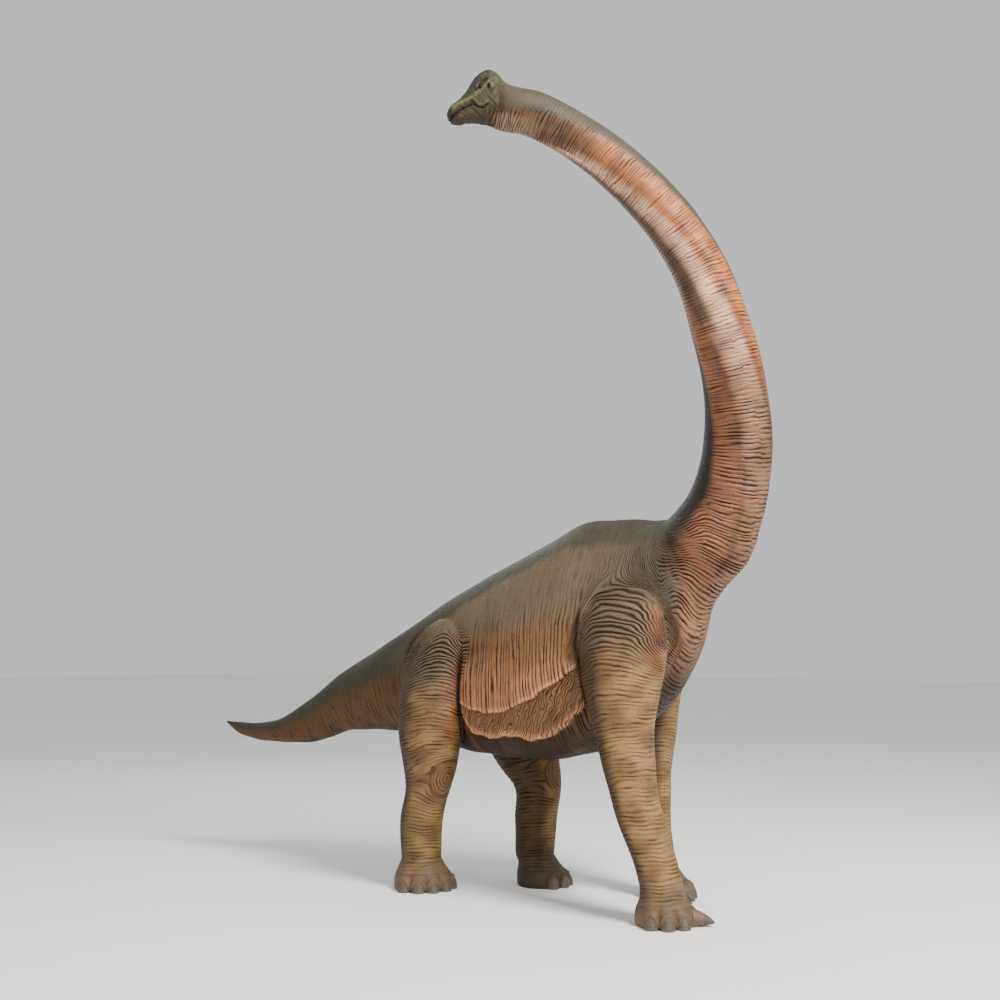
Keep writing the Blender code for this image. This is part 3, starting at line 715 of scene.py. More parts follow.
def spine_fold_strength(points, along, turn):
    """Height of the folds along the spine and darkness of their painted groove shade: low on the back, broken
    up by noise.
    """
    share = np.abs(turn) / math.pi
    edge = read(BACK_EDGE_ALONG, BACK_EDGE, along) / math.pi
    edge = edge + 0.17 * between(along, *UPPER_FLANK)
    place = 0.20 + 0.80 * step(edge - 0.07, edge + 0.08, share)
    place = place * (1 - step(7.70, 7.84, along) * (1 - step(1.75, 2.15, np.abs(turn))))
    barrel = between(along, *BARREL)
    place = place * (1 - 0.55 * barrel * step(0.74, 0.82, share) + 0.40 * barrel * step(0.38, 0.46, share))
    breaks = 0.74 + 0.28 * ripple(points, 0.15, 13) + 0.26 * ripple(streaks(along, turn * 0.25), 0.060, 16)
    place = place * np.clip(breaks, 0.15, 1.25)
    return read(HEIGHT_ALONG, FOLD_HEIGHT, along) * place, read(HEIGHT_ALONG, FOLD_GROOVE_SHADE, along) * place


def fold_push(phase, height):
    """How far the folds push the skin out, from their phase and the height of their ridges."""
    return (ridge(phase, RIDGE_POWER) - RIDGE_MEAN) * height


def lumps(points, along):
    """Slow unevenness of the carved surface, fainter on the neck."""
    return read((4.3, 5.0), (0.0040, 0.0012), along) * ripple(points, 0.35, 41)


# %% [markdown]
# On a leg the folds are counted upwards. They arch over its outer side, form a dome over each
# shoulder and a whorl of rings on each hind knee.

# %% Folds on the legs
# legs, by height: how much lower the folds lie on the inner side than on the arch's top, and how
# much more so behind the leg than in front
ARCH = {
    "fore": ((0.20, 1.00, 1.25, 1.50, 1.65, 1.95), (.03, .03, .08, .16, .0, .0),
             (.05, .05, .05, .06, .0, .0)),
    "hind": ((0.20, 1.10, 1.30, 1.45, 1.60, 1.75), (.03, .05, .20, .60, 1.0, 1.25),
             (.03, .03, -.05, -.1, -.1, -.1)),
}
ARCH_TOP = {"fore": 1.40, "hind": 1.10}      # turn from straight ahead to the outer side
# by height: how far apart the folds lie on a leg, and how high their ridges stand
LEG_SPACING = ((0.0, 0.25, 0.60, 1.20, 1.60, 2.00), (.022, .024, .026, .028, .029, .031))
LEG_HEIGHT = {
    "fore": ((0.0, 0.09, 0.20, 0.60, 1.20, 1.55, 1.75, 2.05),
             (.0, .0012, .0040, .0042, .0044, .0052, .0090, .0110)),
    "hind": ((0.0, 0.09, 0.20, 0.60, 1.10, 1.40, 1.60, 1.85),
             (.0, .0012, .0040, .0044, .0046, .0058, .0100, .0110)),
}
UNBROKEN = {"fore": (1.45, 1.68), "hind": (1.25, 1.45)}    # over these heights the folds stop breaking up
heights = np.linspace(0.0, 3.6, 1500)
counted_up = np.cumsum(1 / read(*LEG_SPACING, heights)) * (heights[1] - heights[0])
KNEE = (0.15, 0.745)              # turn from straight ahead to the outer side, and height
KNEE_REACH = 0.125                # radius of the whorl of rings on the hind knee
KNEE_SPACING = 0.023
LEG_RADIUS = 0.165                # of a hind leg at its knee, to turn angles into metres
# over each foreleg the folds form a dome: its top, how far its sides hang down, its half width
DOME_TOP, DOME_DROP, DOME_HALF = 1.985, 0.27, 0.285


def dome(points, leg):
    """How far the dome's folds hang lower than at its middle: drop * (distance / half width)^4."""
    middle = leg_section(leg, 1.70)[0]
    return DOME_DROP * np.minimum(np.abs(points[:, 0] - middle) / DOME_HALF, 1.3) ** 4


def kind_of(leg):
    """Whether a leg is a fore or a hind one."""
    return "fore" if "fore" in leg else "hind"


def leg_phase(points, leg, turn):
    """Folds counted up a leg after lowering them by an arch, bent by noise; rings round the hind knee."""
    kind = kind_of(leg)
    heights_at, drop, lean = ARCH[kind]
    outer = turn * LEGS[leg][1]
    off_top = outer - ARCH_TOP[kind]
    z = points[:, 2]
    arch = read(heights_at, drop, z) + read(heights_at, lean, z) * np.sin(off_top)
    raised = z + arch * (1 - np.cos(off_top)) / 2
    if kind == "fore":
        raised = raised + dome(points, leg) * step(1.38, 1.66, z)
    if kind == "hind":
        around = outer - KNEE[0]
        around = LEG_RADIUS * (around - 2 * math.pi * np.round(around / (2 * math.pi)))
        reach = np.maximum(np.hypot(around, z - KNEE[1]), 1e-3)
        bent = KNEE[1] + (z - KNEE[1]) * (1 - 0.9 * np.minimum(KNEE_REACH / reach, 1.0) ** 2)
        raised = np.where(np.abs(raised - z) < 0.2, raised - z + bent, raised)
        rings = (KNEE_REACH - reach) / KNEE_SPACING
    phase = read(heights, counted_up, raised)
    bend = 0.50 * ripple(points, 0.60, 21) + 0.16 * ripple(points, 0.16, 22)
    bend = bend + 0.22 * ripple(streaks(z, turn * 0.06), 0.09, 25)
    if kind == "hind":
        knee = 1 - step(KNEE_REACH - 0.012, KNEE_REACH + 0.004, reach)
        return (phase + bend) * (1 - knee) + (rings + 0.5 * bend) * knee
    return phase + bend


def leg_fold_strength(points, leg, turn):
    """Height of the folds on a leg and darkness of their painted groove shade, broken up by noise."""
    z = points[:, 2]
    height = read(*LEG_HEIGHT[kind_of(leg)], z)
    breaks = 0.74 + 0.34 * ripple(points, 0.11, 23) + 0.26 * ripple(streaks(z, turn * 0.12), 0.07, 24)
    breaks = np.clip(breaks, 0.10, 1.35)
    breaks = breaks + (1.05 - breaks) * 0.85 * step(*UNBROKEN[kind_of(leg)], z)
    darkness = np.clip(0.62 + (height - 0.0042) / 0.0065, 0, 1.4) * breaks * step(0.07, 0.16, z)
    return height * breaks, darkness


# %% [markdown]
# Two flaps of loose skin hang along each flank, one over the other. Their lower edges are curves
# of height over distance ahead. The skin swells towards each edge and drops back just under it.

# %% Flaps on the flank
UPPER_FLAP = ((-0.66, -0.60, -0.50, -0.405, -0.30, -0.245, -0.16, -0.08, 0.08, 0.25, 0.32, 0.45),
              (1.270, 1.235, 1.215, 1.207, 1.212, 1.220, 1.245, 1.275, 1.356, 1.452, 1.505, 1.600))
LOWER_FLAP = ((-0.66, -0.60, -0.53, -0.45, -0.38, -0.28, -0.22, -0.15, -0.08, 0.00, 0.08, 0.15, 0.22,
               0.32, 0.45),
              (1.200, 1.090, 1.055, 1.042, 1.044, 1.060, 1.074, 1.060, 1.047, 1.052, 1.080, 1.122, 1.175,
               1.258, 1.390))
FLAP_THICKNESS = (0.034, 0.030)
FLAP_FADE = (0.42, 0.20)          # how far above its edge the swelling reaches
FLAP_LIP = 0.010                  # over this height the skin drops back under the edge
FLAP_STRETCH = (-0.70, -0.62, 0.42, 0.52)      # where the flaps set in and end, as x
UNDER_EDGE, OVER_EDGE = (-0.012, -0.004), (-0.004, 0.004)     # heights off an edge that count as off it


def flap_position(points):
    """Height above the upper and the lower flap's edge, wavering a little, and where flaps exist."""
    x = points[:, 0] + MIDDLE[0]
    waver = 0.005 * ripple(points, 0.13, 31)
    upper = points[:, 2] - read(*UPPER_FLAP, x) - waver
    lower = points[:, 2] - read(*LOWER_FLAP, x) - waver * 1.4
    return upper, lower, between(x, *FLAP_STRETCH)


def flap_swell(points):
    """thickness * (1 - fade) above each edge, a quick smooth drop under it."""
    upper, lower, window = flap_position(points)
    high = FLAP_THICKNESS[0] * step(-FLAP_LIP, 0, upper) * (1 - step(0, FLAP_FADE[0], upper))
    low = FLAP_THICKNESS[1] * step(-FLAP_LIP, 0, lower) * (1 - step(0, FLAP_FADE[1], lower))
    low = low * (1 - step(-FLAP_LIP, FLAP_LIP, upper))
    return (high + low) * window


# %% Normals, toes and zones of a leg
CREASE_DEPTH = 0.020              # where leg and trunk meet
CREASE_REACH = 0.018
TOE_BULGE, TOE_CLEFT, ANKLE_WAIST, CUTICLE = 0.009, 0.008, 0.010, 0.010
NAIL_WIDTH, NAIL_HEIGHT = 0.043, 0.080
NAIL_GAP = 0.006                  # between a nail's edge and the raised fold round it
GRAIN_LEAN, GRAIN_SPACING = 0.55, 0.021        # of the fine folds between the two flaps' edges
GRAIN_HEIGHT, GRAIN_GROOVE_SHADE = 0.0032, 0.8


def vertex_normals(points, triangles):
    """Outward direction at every point: the sum of its faces' cross products, made one long."""
    a, b, c = (points[triangles[:, k]] for k in range(3))
    face = np.cross(b - a, c - a)
    total = np.stack([sum(np.bincount(triangles[:, k], face[:, axis], len(points)) for k in range(3))
                      for axis in range(3)], axis=1)
    return total / np.maximum(np.linalg.norm(total, axis=1, keepdims=True), 1e-12)


def toe_position(points, leg):
    """Level distance from the sole's middle and direction from straight ahead to the outer side."""
    side, sole = LEGS[leg][1:3]
    away = points[:, :2] + MIDDLE[:2] - [sole[0], side * sole[1]]
    return np.hypot(*away.T), np.arctan2(side * away[:, 1], away[:, 0])


def toe_push(points, leg):
    """Bulging toes with clefts between, a waist above them and a raised fold over every nail."""
    toes = LEGS[leg][4]
    reach, direction = toe_position(points, leg)
    z = points[:, 2]
    push = -ANKLE_WAIST * bell(z - 0.150, 0.045)
    low = 1 - step(0.06, 0.13, z)
    for toe in toes:
        off = direction + math.radians(toe)
        push = push + TOE_BULGE * bell(off, 0.24) * bell(z - 0.055, 0.045)
        rim = np.hypot(off * reach / (NAIL_WIDTH + NAIL_GAP), z / (NAIL_HEIGHT + NAIL_GAP))
        push = push + CUTICLE * bell(rim - 1.0, 0.13) * step(0.01, 0.04, z)
    for first, second in zip(toes[:-1], toes[1:]):
        off = direction + math.radians((first + second) / 2)
        push = push - TOE_CLEFT * bell(off, 0.07) * low
    return push * (1 - step(0.22, 0.30, z))


def leg_step(fore, height, fore_range, hind_range):
    """A smooth step over height, from one range on the forelegs and another on the hind legs."""
    return np.where(fore, step(*fore_range, height), step(*hind_range, height))


# %% Folds on every point of the shell
RUNOUT = ((1.30, 1.62), (0.02, 0.12))     # by height: how far a leg's folds run out over the trunk
DOME_FROM = (1.50, 1.64)          # heights over which the dome's outline takes over on a foreleg
DOME_OUT = (0.14, 0.20)           # and distances from the middle plane
DOME_FADE = (-0.02, 0.13)         # heights over the dome's outline in which its folds give way
THIGH_FADE = (1.63, 1.79)         # heights over which a hind leg's folds give way to the trunk's
JOIN_FROM, MELT_FROM = (1.50, 1.58), (1.60, 1.72)     # heights where a foreleg's folds join the trunk's
FOLDS_TAKEN = 4                   # folds that this joining bends out of its way
SHOULDER_FRONT = (1.50, 1.62, 1.90, 2.02)     # between these heights its front is calmer
CREASE_FROM = (0.70, 0.90)        # heights over which the crease between leg and trunk sets in
CREASE_END = ((1.78, 1.90), (1.50, 1.66))     # and ends, on forelegs and on hind legs
shell_normals = vertex_normals(shell, shell_triangles)
shell_z = shell[:, 2]
nearer_leg = trunk_out - leg_out  # above zero on a leg, below zero on the trunk
on_leg = step(-0.02, 0.02, nearer_leg)
names = list(LEGS)
spine_fold = spine_phase(shell, along, turn)
spine_high, spine_dark = spine_fold_strength(shell, along, turn)
leg_fold, leg_high, leg_dark, toe_out, leg_turn, hang = (np.zeros(len(shell)) for _ in range(6))
for i, leg in enumerate(names):
    mine = leg_index == i
    leg_turn[mine] = leg_position(shell[mine], leg)[0]
    leg_fold[mine] = leg_phase(shell[mine], leg, leg_turn[mine])
    leg_high[mine], leg_dark[mine] = leg_fold_strength(shell[mine], leg, leg_turn[mine])
    toe_out[mine] = toe_push(shell[mine], leg)
    hang[mine] = dome(shell[mine], leg)
outer = leg_turn * np.array([LEGS[leg][1] for leg in names])[leg_index]
is_fore = np.array(["fore" in leg for leg in names])[leg_index]

# the leg's folds run out over the trunk above it, and the flank's flaps have a grain of their own
leg_share = 1 - step(0.55, 1, np.clip(-nearer_leg, 0, 1) / read(*RUNOUT, shell_z))
dome_share = 1 - step(*DOME_FADE, shell_z - DOME_TOP + hang)
high_up = step(*DOME_FROM, shell_z) * step(*DOME_OUT, np.abs(shell[:, 1] + MIDDLE[1])) * is_fore
leg_share = leg_share + (dome_share - leg_share) * high_up
leg_share = leg_share * np.where(is_fore, 1.0, 1 - step(*THIGH_FADE, shell_z))
upper, lower, window = flap_position(shell)
grained = (1 - step(*UNDER_EDGE, upper)) * step(*OVER_EDGE, lower) * window > 0.5
grain = (shell[:, 0] - GRAIN_LEAN * shell_z) / GRAIN_SPACING
grain = grain + 0.5 * ripple(shell, 0.16, 14) + 0.35 * ripple(shell, 0.05, 17)
spine_fold[grained] = grain[grained]
spine_high[grained] = GRAIN_HEIGHT
spine_dark[grained] = GRAIN_GROOVE_SHADE

# high on a foreleg its folds turn smoothly into the trunk's: one phase runs through both
melted = step(*MELT_FROM, shell_z) * is_fore
joined = leg_share * step(*JOIN_FROM, shell_z) * is_fore
for i, leg in enumerate(names):
    mine = (leg_index == i) & is_fore
    near = mine & (leg_share > 0.3) & (leg_share < 0.7) & (melted > 0.5)
    if not near.any():
        continue
    apart = round(float(np.median((spine_fold - leg_fold)[near]))) - FOLDS_TAKEN
    spine_fold[mine] = (spine_fold + (leg_fold + apart - spine_fold) * joined)[mine]
    print(leg, "folds melt in", int(near.sum()), "points, apart by", apart)
bunched = 1 - 1.4 * leg_share * (1 - leg_share) * melted
spine_dark = (spine_dark + (leg_dark - spine_dark) * joined) * bunched
spine_high = (spine_high + (leg_high - spine_high) * joined) * bunched
shoulder_front = bell(outer - 0.15, 0.45) * step(-0.20, 0.0, nearer_leg) * is_fore
calmer = 1 - 0.72 * shoulder_front * between(shell_z, *SHOULDER_FRONT)
spine_dark, spine_high = spine_dark * calmer, spine_high * calmer
on_leg_folds = leg_share * (1 - melted)

# the crease between leg and trunk is deep before and behind the leg and fades over its top
dome_off = (1 - (hang / DOME_DROP) ** 0.25) * DOME_HALF
edge_off = np.where(is_fore, nearer_leg * (1 - high_up) + dome_off * high_up, nearer_leg)
over_top = leg_step(is_fore, shell_z, *CREASE_END)
meeting = step(*CREASE_FROM, shell_z) * (1 - over_top) * np.where(is_fore & (outer < 1.2), 0.65, 1.0)
crease = bell(edge_off, CREASE_REACH) * meeting
off_leg = 1 - on_leg
push = fold_push(spine_fold, spine_high) * (1 - on_leg_folds) + fold_push(leg_fold, leg_high) * on_leg_folds
push = push - CREASE_DEPTH * crease + flap_swell(shell) * off_leg + toe_out * on_leg
push = push + lumps(shell, along) * step(0.25, 0.5, shell_z)
skin = shell + shell_normals * push[:, None]
skin[:, 2] = np.maximum(skin[:, 2], 0.0)
print("deepest and highest push in mm:", np.round(np.array([push.min(), push.max()]) * 1000, 1))

# %% [markdown]
# The paint follows the animal: a dark grey-green back with a crisp lower edge, a taupe flank that
# warms through ochre to salmon above the flaps, khaki legs, and on the neck an orange side and a
# pinkish throat. Painted shade darkens the belly, creases, hollows and sides turned from the light,
# and a painted highlight lightens the flaps' rims and the throat. Every tone is named once, in the
# numbers of a colour picker.


# %% Tones
def tone(red, green, blue):
    """A colour picker's 0 to 255 numbers as linear light: ((c / 255 + 0.055) / 1.055) ^ 2.4."""
    return ((np.array([red, green, blue]) / 255 + 0.055) / 1.055) ** 2.4


DARK_BACK = tone(60, 57, 45)
TAUPE = tone(93, 80, 63)
OCHRE = tone(114, 80, 42)
SALMON = tone(164, 113, 74)
RIM_HIGHLIGHT = tone(206, 144, 98)
UNDER_FLAP_SHADE = tone(120, 88, 52)
DEEP_SHADE = tone(44, 26, 5)
KHAKI = tone(141, 113, 67)
LEG_OLIVE_AND_SHADE = tone(64, 47, 22)
SHOULDER_RUST = tone(150, 78, 42)
FOOT_GREY = tone(96, 79, 60)
NECK_BACK = tone(66, 59, 46)
NECK_BACK_SHADED = tone(32, 26, 16)
NECK_ORANGE = tone(168, 104, 60)
NECK_ORANGE_LOW = tone(132, 84, 55)
NECK_LINE = tone(76, 48, 30)
THROAT_PALE_AND_HIGHLIGHT = tone(222, 178, 150)
RING_PALE = tone(150, 126, 104)
THROAT_LOW = tone(134, 98, 74)
NECK_SHADE = tone(70, 53, 42)
NECK_BROWN = tone(68, 54, 40)
SHOULDER = tone(66, 57, 45)
TAIL_RUST = tone(80, 50, 6)
TAIL_BACK = tone(50, 45, 32)
HEAD_GREEN = tone(56, 56, 40)
HEAD_RIDGE = tone(106, 103, 58)
JAW_BROWN = tone(62, 52, 35)
KNEE_BROWN = tone(104, 72, 44)
THIGH_TOP_SHADE = tone(76, 68, 54)
FOOT_SHADE = tone(44, 38, 30)
LIP_BROWN = tone(52, 38, 20)
UNDER_LIP_SHADE = tone(34, 27, 17)
HEAD_BLOTCH = tone(36, 31, 20)
EYE_SHADE = tone(26, 22, 14)
CREST_SHADE = tone(34, 31, 24)
RECESS_SHADE = tone(22, 17, 10)


def mix(base, colour, amount):
    """base + (colour - base) * amount, point by point; base and colour may be one tone for all."""
    return base + (colour - base) * np.clip(amount, 0, 1)[:, None]


def layered(base, *layers):
    """A base with each layer's tone mixed in by its amount, one after the other."""
    for colour, amount in layers:
        base = mix(base, colour, amount)
    return base


def patches(points, size, seed):
    """Slow patches of paint, from 0 to 1."""
    return 0.5 + 0.5 * np.clip(ripple(points, size, seed), -1, 1)


def paint_neck(along, turn, away, patchy):
    """Orange sides, a pale throat with painted highlight and a dark line beside it, a dull left side, painted
    shade on its right and a dark nape.
    """
    upper_neck = step(5.4, 6.2, along)
    pale_from = 2.42 + 0.20 * upper_neck * (turn >= 0)
    line = bell(away - 2.52, 0.13) * (1 - step(6.6, 7.4, along))
    dull = step(5.7, 6.4, along) * (turn < 0) + step(7.12, 7.50, along) * (turn >= 0)
    in_shade = bell(turn + 2.75, 0.22) * between(along, 5.6, 6.1, 7.35, 7.55)
    nape = mix(NECK_BROWN, THROAT_LOW, 0.5 * step(2.1, 2.5, away))
    return layered(
        NECK_ORANGE_LOW,
        (NECK_ORANGE, upper_neck),
        # pale throat paint, brightened and on the upper neck's left side narrowed as a painted highlight
        (mix(THROAT_LOW, THROAT_PALE_AND_HIGHLIGHT, upper_neck), step(pale_from, pale_from + 0.36, away)),
        (NECK_LINE, (0.30 + 0.40 * patchy) * line),
        (NECK_BROWN, 0.85 * dull * (1 - step(2.50, 3.12, away) * (turn < 0))),
        (NECK_BROWN, 0.45 * patchy),
        # painted shade on the right side of the upper throat
        (NECK_SHADE, 0.85 * in_shade),
        (nape, step(7.42, 7.62, along)),
        (RING_PALE, 0.7 * step(2.0, 2.35, away) * step(7.60, 7.78, along)),
        (NECK_ORANGE_LOW, 0.45 * bell(away - 2.02, 0.16) * bell(along - 7.72, 0.12)))


def paint_trunk(points, away, patchy):
    """Taupe that warms to ochre and salmon, with painted shade under the flaps' edges and on the belly and a
    painted highlight on their rims.
    """
    between_legs = between(points[:, 0] + MIDDLE[0], -0.74, -0.60, 0.42, 0.55)
    upper, lower, window = flap_position(points)
    # painted highlight along the rims of both flaps' edges
    rim = bell(upper - 0.008, 0.013) + (0.55 + 0.45 * patchy) * bell(lower - 0.016, 0.022)
    return layered(
        TAUPE,
        (OCHRE, step(1.08, 1.40, away)),
        (SALMON, step(1.36, 1.66, away) * between_legs * (0.65 + 0.35 * patchy)),
        # painted shade on the belly, weaker between the legs
        (DEEP_SHADE, step(2.0, 2.5, away) * (1 - 0.4 * between_legs)),
        # painted shade under the upper flap's edge, then deeper painted shade under the lower flap's edge
        (UNDER_FLAP_SHADE, (1 - step(*UNDER_EDGE, upper)) * window),
        (DEEP_SHADE, (1 - step(*UNDER_EDGE, lower)) * window),
        (RIM_HIGHLIGHT, rim * window))


def paint_spine(points, along, turn):
    """Colours of tail, trunk and neck from the distance along and the turn from the top."""
    away = np.abs(turn) + 0.030 * ripple(points, 0.40, 51) + 0.015 * ripple(points, 0.09, 54)
    patchy = patches(points, 0.22, 55)
    neck = paint_neck(along, turn, away, patchy)
    shoulder = layered(
        SHOULDER,
        (THROAT_LOW, step(1.9, 2.5, away)),
        # painted shade under the chest
        (DEEP_SHADE, step(2.3, 2.8, away) * (1 - step(4.05, 4.35, along))))
    back = layered(
        TAIL_BACK,
        (DARK_BACK, step(2.1, 2.7, along)),
        # dark back paint of the lower neck, deepened with painted shade
        (NECK_BACK_SHADED, step(4.3, 4.8, along)),
        (NECK_BACK, step(5.6, 6.6, along)))
    edge = read(BACK_EDGE_ALONG, BACK_EDGE, along)
    soft = read((0.0, 2.0, 2.7, 4.2, 4.9, 8.0), (0.35, 0.30, 0.06, 0.06, 0.16, 0.14), along)
    return layered(
        mix(TAIL_RUST, TAIL_BACK, 0.6 * patchy * step(2.2, 2.6, away)),
        (paint_trunk(points, away, patchy), step(2.00, 2.45, along)),
        (shoulder, step(3.35, 4.30, along)),
        (neck, step(4.30, 4.60, along) * step(1.2, 1.7, away)),
        (neck, step(4.60, 4.95, along)),
        (back, 1 - step(-1, 1, (away - edge) / soft)))


def paint_legs(points, outer, fore):
    """Khaki outside and in front with olive patches, painted shade behind and inside, taupe over the top,
    grey-brown at the foot.
    """
    z = points[:, 2] + 0.05 * ripple(points, 0.30, 53)
    patchy = patches(points, 0.20, 56)
    rust = np.where(fore, between(z, 1.45, 1.60, 1.85, 1.95), between(z, 0.95, 1.10, 1.55, 1.70))
    rust = bell(outer - 0.30, 0.40) * rust
    return layered(
        KHAKI,
        (LEG_OLIVE_AND_SHADE, 0.50 * patchy + np.where(fore, 0.0, 0.22)),
        # painted shade behind and inside each leg
        (LEG_OLIVE_AND_SHADE, step(1.5, 2.1, outer) + 1 - step(-0.9, -0.3, outer)),
        (TAUPE, leg_step(fore, z, (1.45, 1.78), (1.20, 1.55))),
        (SHOULDER_RUST, 0.45 * rust * (0.4 + 0.6 * patchy)),
        (FOOT_GREY, 1 - step(0.10, 0.28, z)))


colour = paint_spine(shell, along, turn)
high_tone = leg_step(is_fore, shell_z, (1.45, 1.65), (1.25, 1.50))
soft_leg = on_leg + (step(-0.10, 0.06, nearer_leg) - on_leg) * high_tone
soft_leg = soft_leg * (1 - leg_step(is_fore, shell_z, (1.84, 1.98), (1.56, 1.73)))
colour = colour + (paint_legs(shell, outer, is_fore) - colour) * soft_leg[:, None]
# painted shade over the top of each hind thigh, strongest behind it
thigh_shade = between(shell_z, 1.26, 1.48, 1.72, 1.92) * ~is_fore
thigh_shade = thigh_shade * step(-0.34, -0.04, nearer_leg) * (0.35 + 0.65 * step(0.5, 1.3, outer))
knee_off = np.hypot(LEG_RADIUS * (outer - KNEE[0]), shell_z - KNEE[1]) / KNEE_REACH
# painted shade on the foot and lowest part of the far hind leg
shady = (leg_index == names.index("left_hind")) * (1 - step(0.12, 0.40, shell_z)) * on_leg
colour = layered(
    colour,
    (THIGH_TOP_SHADE, 0.85 * thigh_shade),
    # painted shade in the crease where leg and trunk meet
    (DEEP_SHADE, 0.90 * bell(edge_off, 0.030) * meeting),
    (KNEE_BROWN, 0.6 * (1 - step(0.8, 1.2, knee_off)) * ~is_fore * on_leg),
    # painted shade in the clefts between the toes
    (DEEP_SHADE, 0.5 * np.clip(-toe_out / TOE_CLEFT, 0, 1) * (shell_z < 0.12)),
    (FOOT_SHADE, 0.75 * shady))
print("mean tone of the shell:", np.round(colour.mean(axis=0), 3))

# %% [markdown]
# One material paints every length of the skin. It reads the tones and the fold phases that each
# point carries, puts painted shade in the grooves and fine lines and a painted highlight on the fold
# ridges, mottles the rest with noise and adds the finest wrinkles and the pebbled grain as bump, all
# in the object's own space.


# %% Skin material
NOISE_ROUGHNESS = 0.55
WOBBLE = 0.40                     # how far, in folds, noise shifts the painted grooves
SLOW_ALONG = 7.0                  # scale along the folds of the noise that streaks them
# heights of the bump, in metres: pebbled grain, fine noise, grooves and the fine lines between
GRAIN_BUMP, NOISE_BUMP, GROOVE_BUMP, LINE_BUMP = 0.0012, 0.0022, 0.0050, 0.0016


class Shader:
    """A small helper that adds nodes to one material and links them."""

    def __init__(self, name):
        self.material = bpy.data.materials.new(name)
        self.material.use_nodes = True
        self.nodes = self.material.node_tree.nodes
        self.links = self.material.node_tree.links
        self.principled = self.nodes["Principled BSDF"]

    def add(self, kind, settings=(), **inputs):
        """A node of a kind with its settings, its inputs linked or set by name, or by number as i0, i1."""
        node = self.nodes.new(kind)
        for key, value in dict(settings).items():
            setattr(node, key, value)
        for key, value in inputs.items():
            socket = node.inputs[int(key[1:])] if key[0] == "i" and key[1:].isdigit() else node.inputs[key]
            self.feed(socket, value)
        return node

    def feed(self, socket, value):
        """Link an output to the socket, or set its value."""
        if isinstance(value, bpy.types.NodeSocket):
            self.links.new(value, socket)
        else:
            socket.default_value = value

    def math(self, operation, *values):
        """A math node's result."""
        inputs = {f"i{k}": value for k, value in enumerate(values)}
        return self.add("ShaderNodeMath", {"operation": operation}, **inputs).outputs[0]

    def times(self, first, second):
        """The product of two values."""
        return self.math("MULTIPLY", first, second)

    def plus(self, first, second):
        """The sum of two values."""
        return self.math("ADD", first, second)

    def less(self, first, second):
        """The first value less the second."""
        return self.math("SUBTRACT", first, second)

    def power(self, value, exponent):
        """The value raised to an exponent."""
        return self.math("POWER", value, exponent)

    def wave(self, angle):
        """|sin(angle)|."""
        return self.math("ABSOLUTE", self.math("SINE", angle))

    def attribute(self, name, output):
        """What the mesh carries under a name."""
        return self.add("ShaderNodeAttribute", {"attribute_name": name}).outputs[output]

    def noise(self, scale, detail=3.0, place=None):
        """Noise at a place, or else on the object's own coordinates."""
        node = self.add("ShaderNodeTexNoise", Scale=scale, Detail=detail, Roughness=NOISE_ROUGHNESS)
        self.links.new(place or self.place(), node.inputs["Vector"])
        return node.outputs["Fac"]

    def place(self):
        """The object's own coordinates."""
        return self.add("ShaderNodeTexCoord").outputs["Object"]

    def spread(self, value, low, high, to_low, to_high):
        """Map a range smoothly to another and stop at its ends."""
        node = self.add("ShaderNodeMapRange", {"interpolation_type": "SMOOTHSTEP"}, i0=value, i1=low,
                        i2=high, i3=to_low, i4=to_high)
        return node.outputs[0]

    def blend(self, kind, amount, base, other):
        """Base mixed with another colour."""
        node = self.add("ShaderNodeMix", {"data_type": "RGBA", "blend_type": kind})
        for index, value in ((0, amount), (6, base), (7, other)):
            if isinstance(value, tuple):
                value = (*value, 1.0)
            self.feed(node.inputs[index], value)
        return node.outputs[2]

    def finish(self, colour, roughness, height=None, **settings):
        """Feed the shader its colour, roughness, bump and other settings, and give the material."""
        inputs = self.principled.inputs
        self.feed(inputs["Base Color"], colour)
        self.feed(inputs["Roughness"], roughness)
        for name, value in settings.items():
            inputs[name.replace("_", " ")].default_value = value
        if height is not None:
            bump = self.add("ShaderNodeBump", Strength=1.0, Distance=1.0, Height=height)
            self.feed(inputs["Normal"], bump.outputs["Normal"])
        return self.material


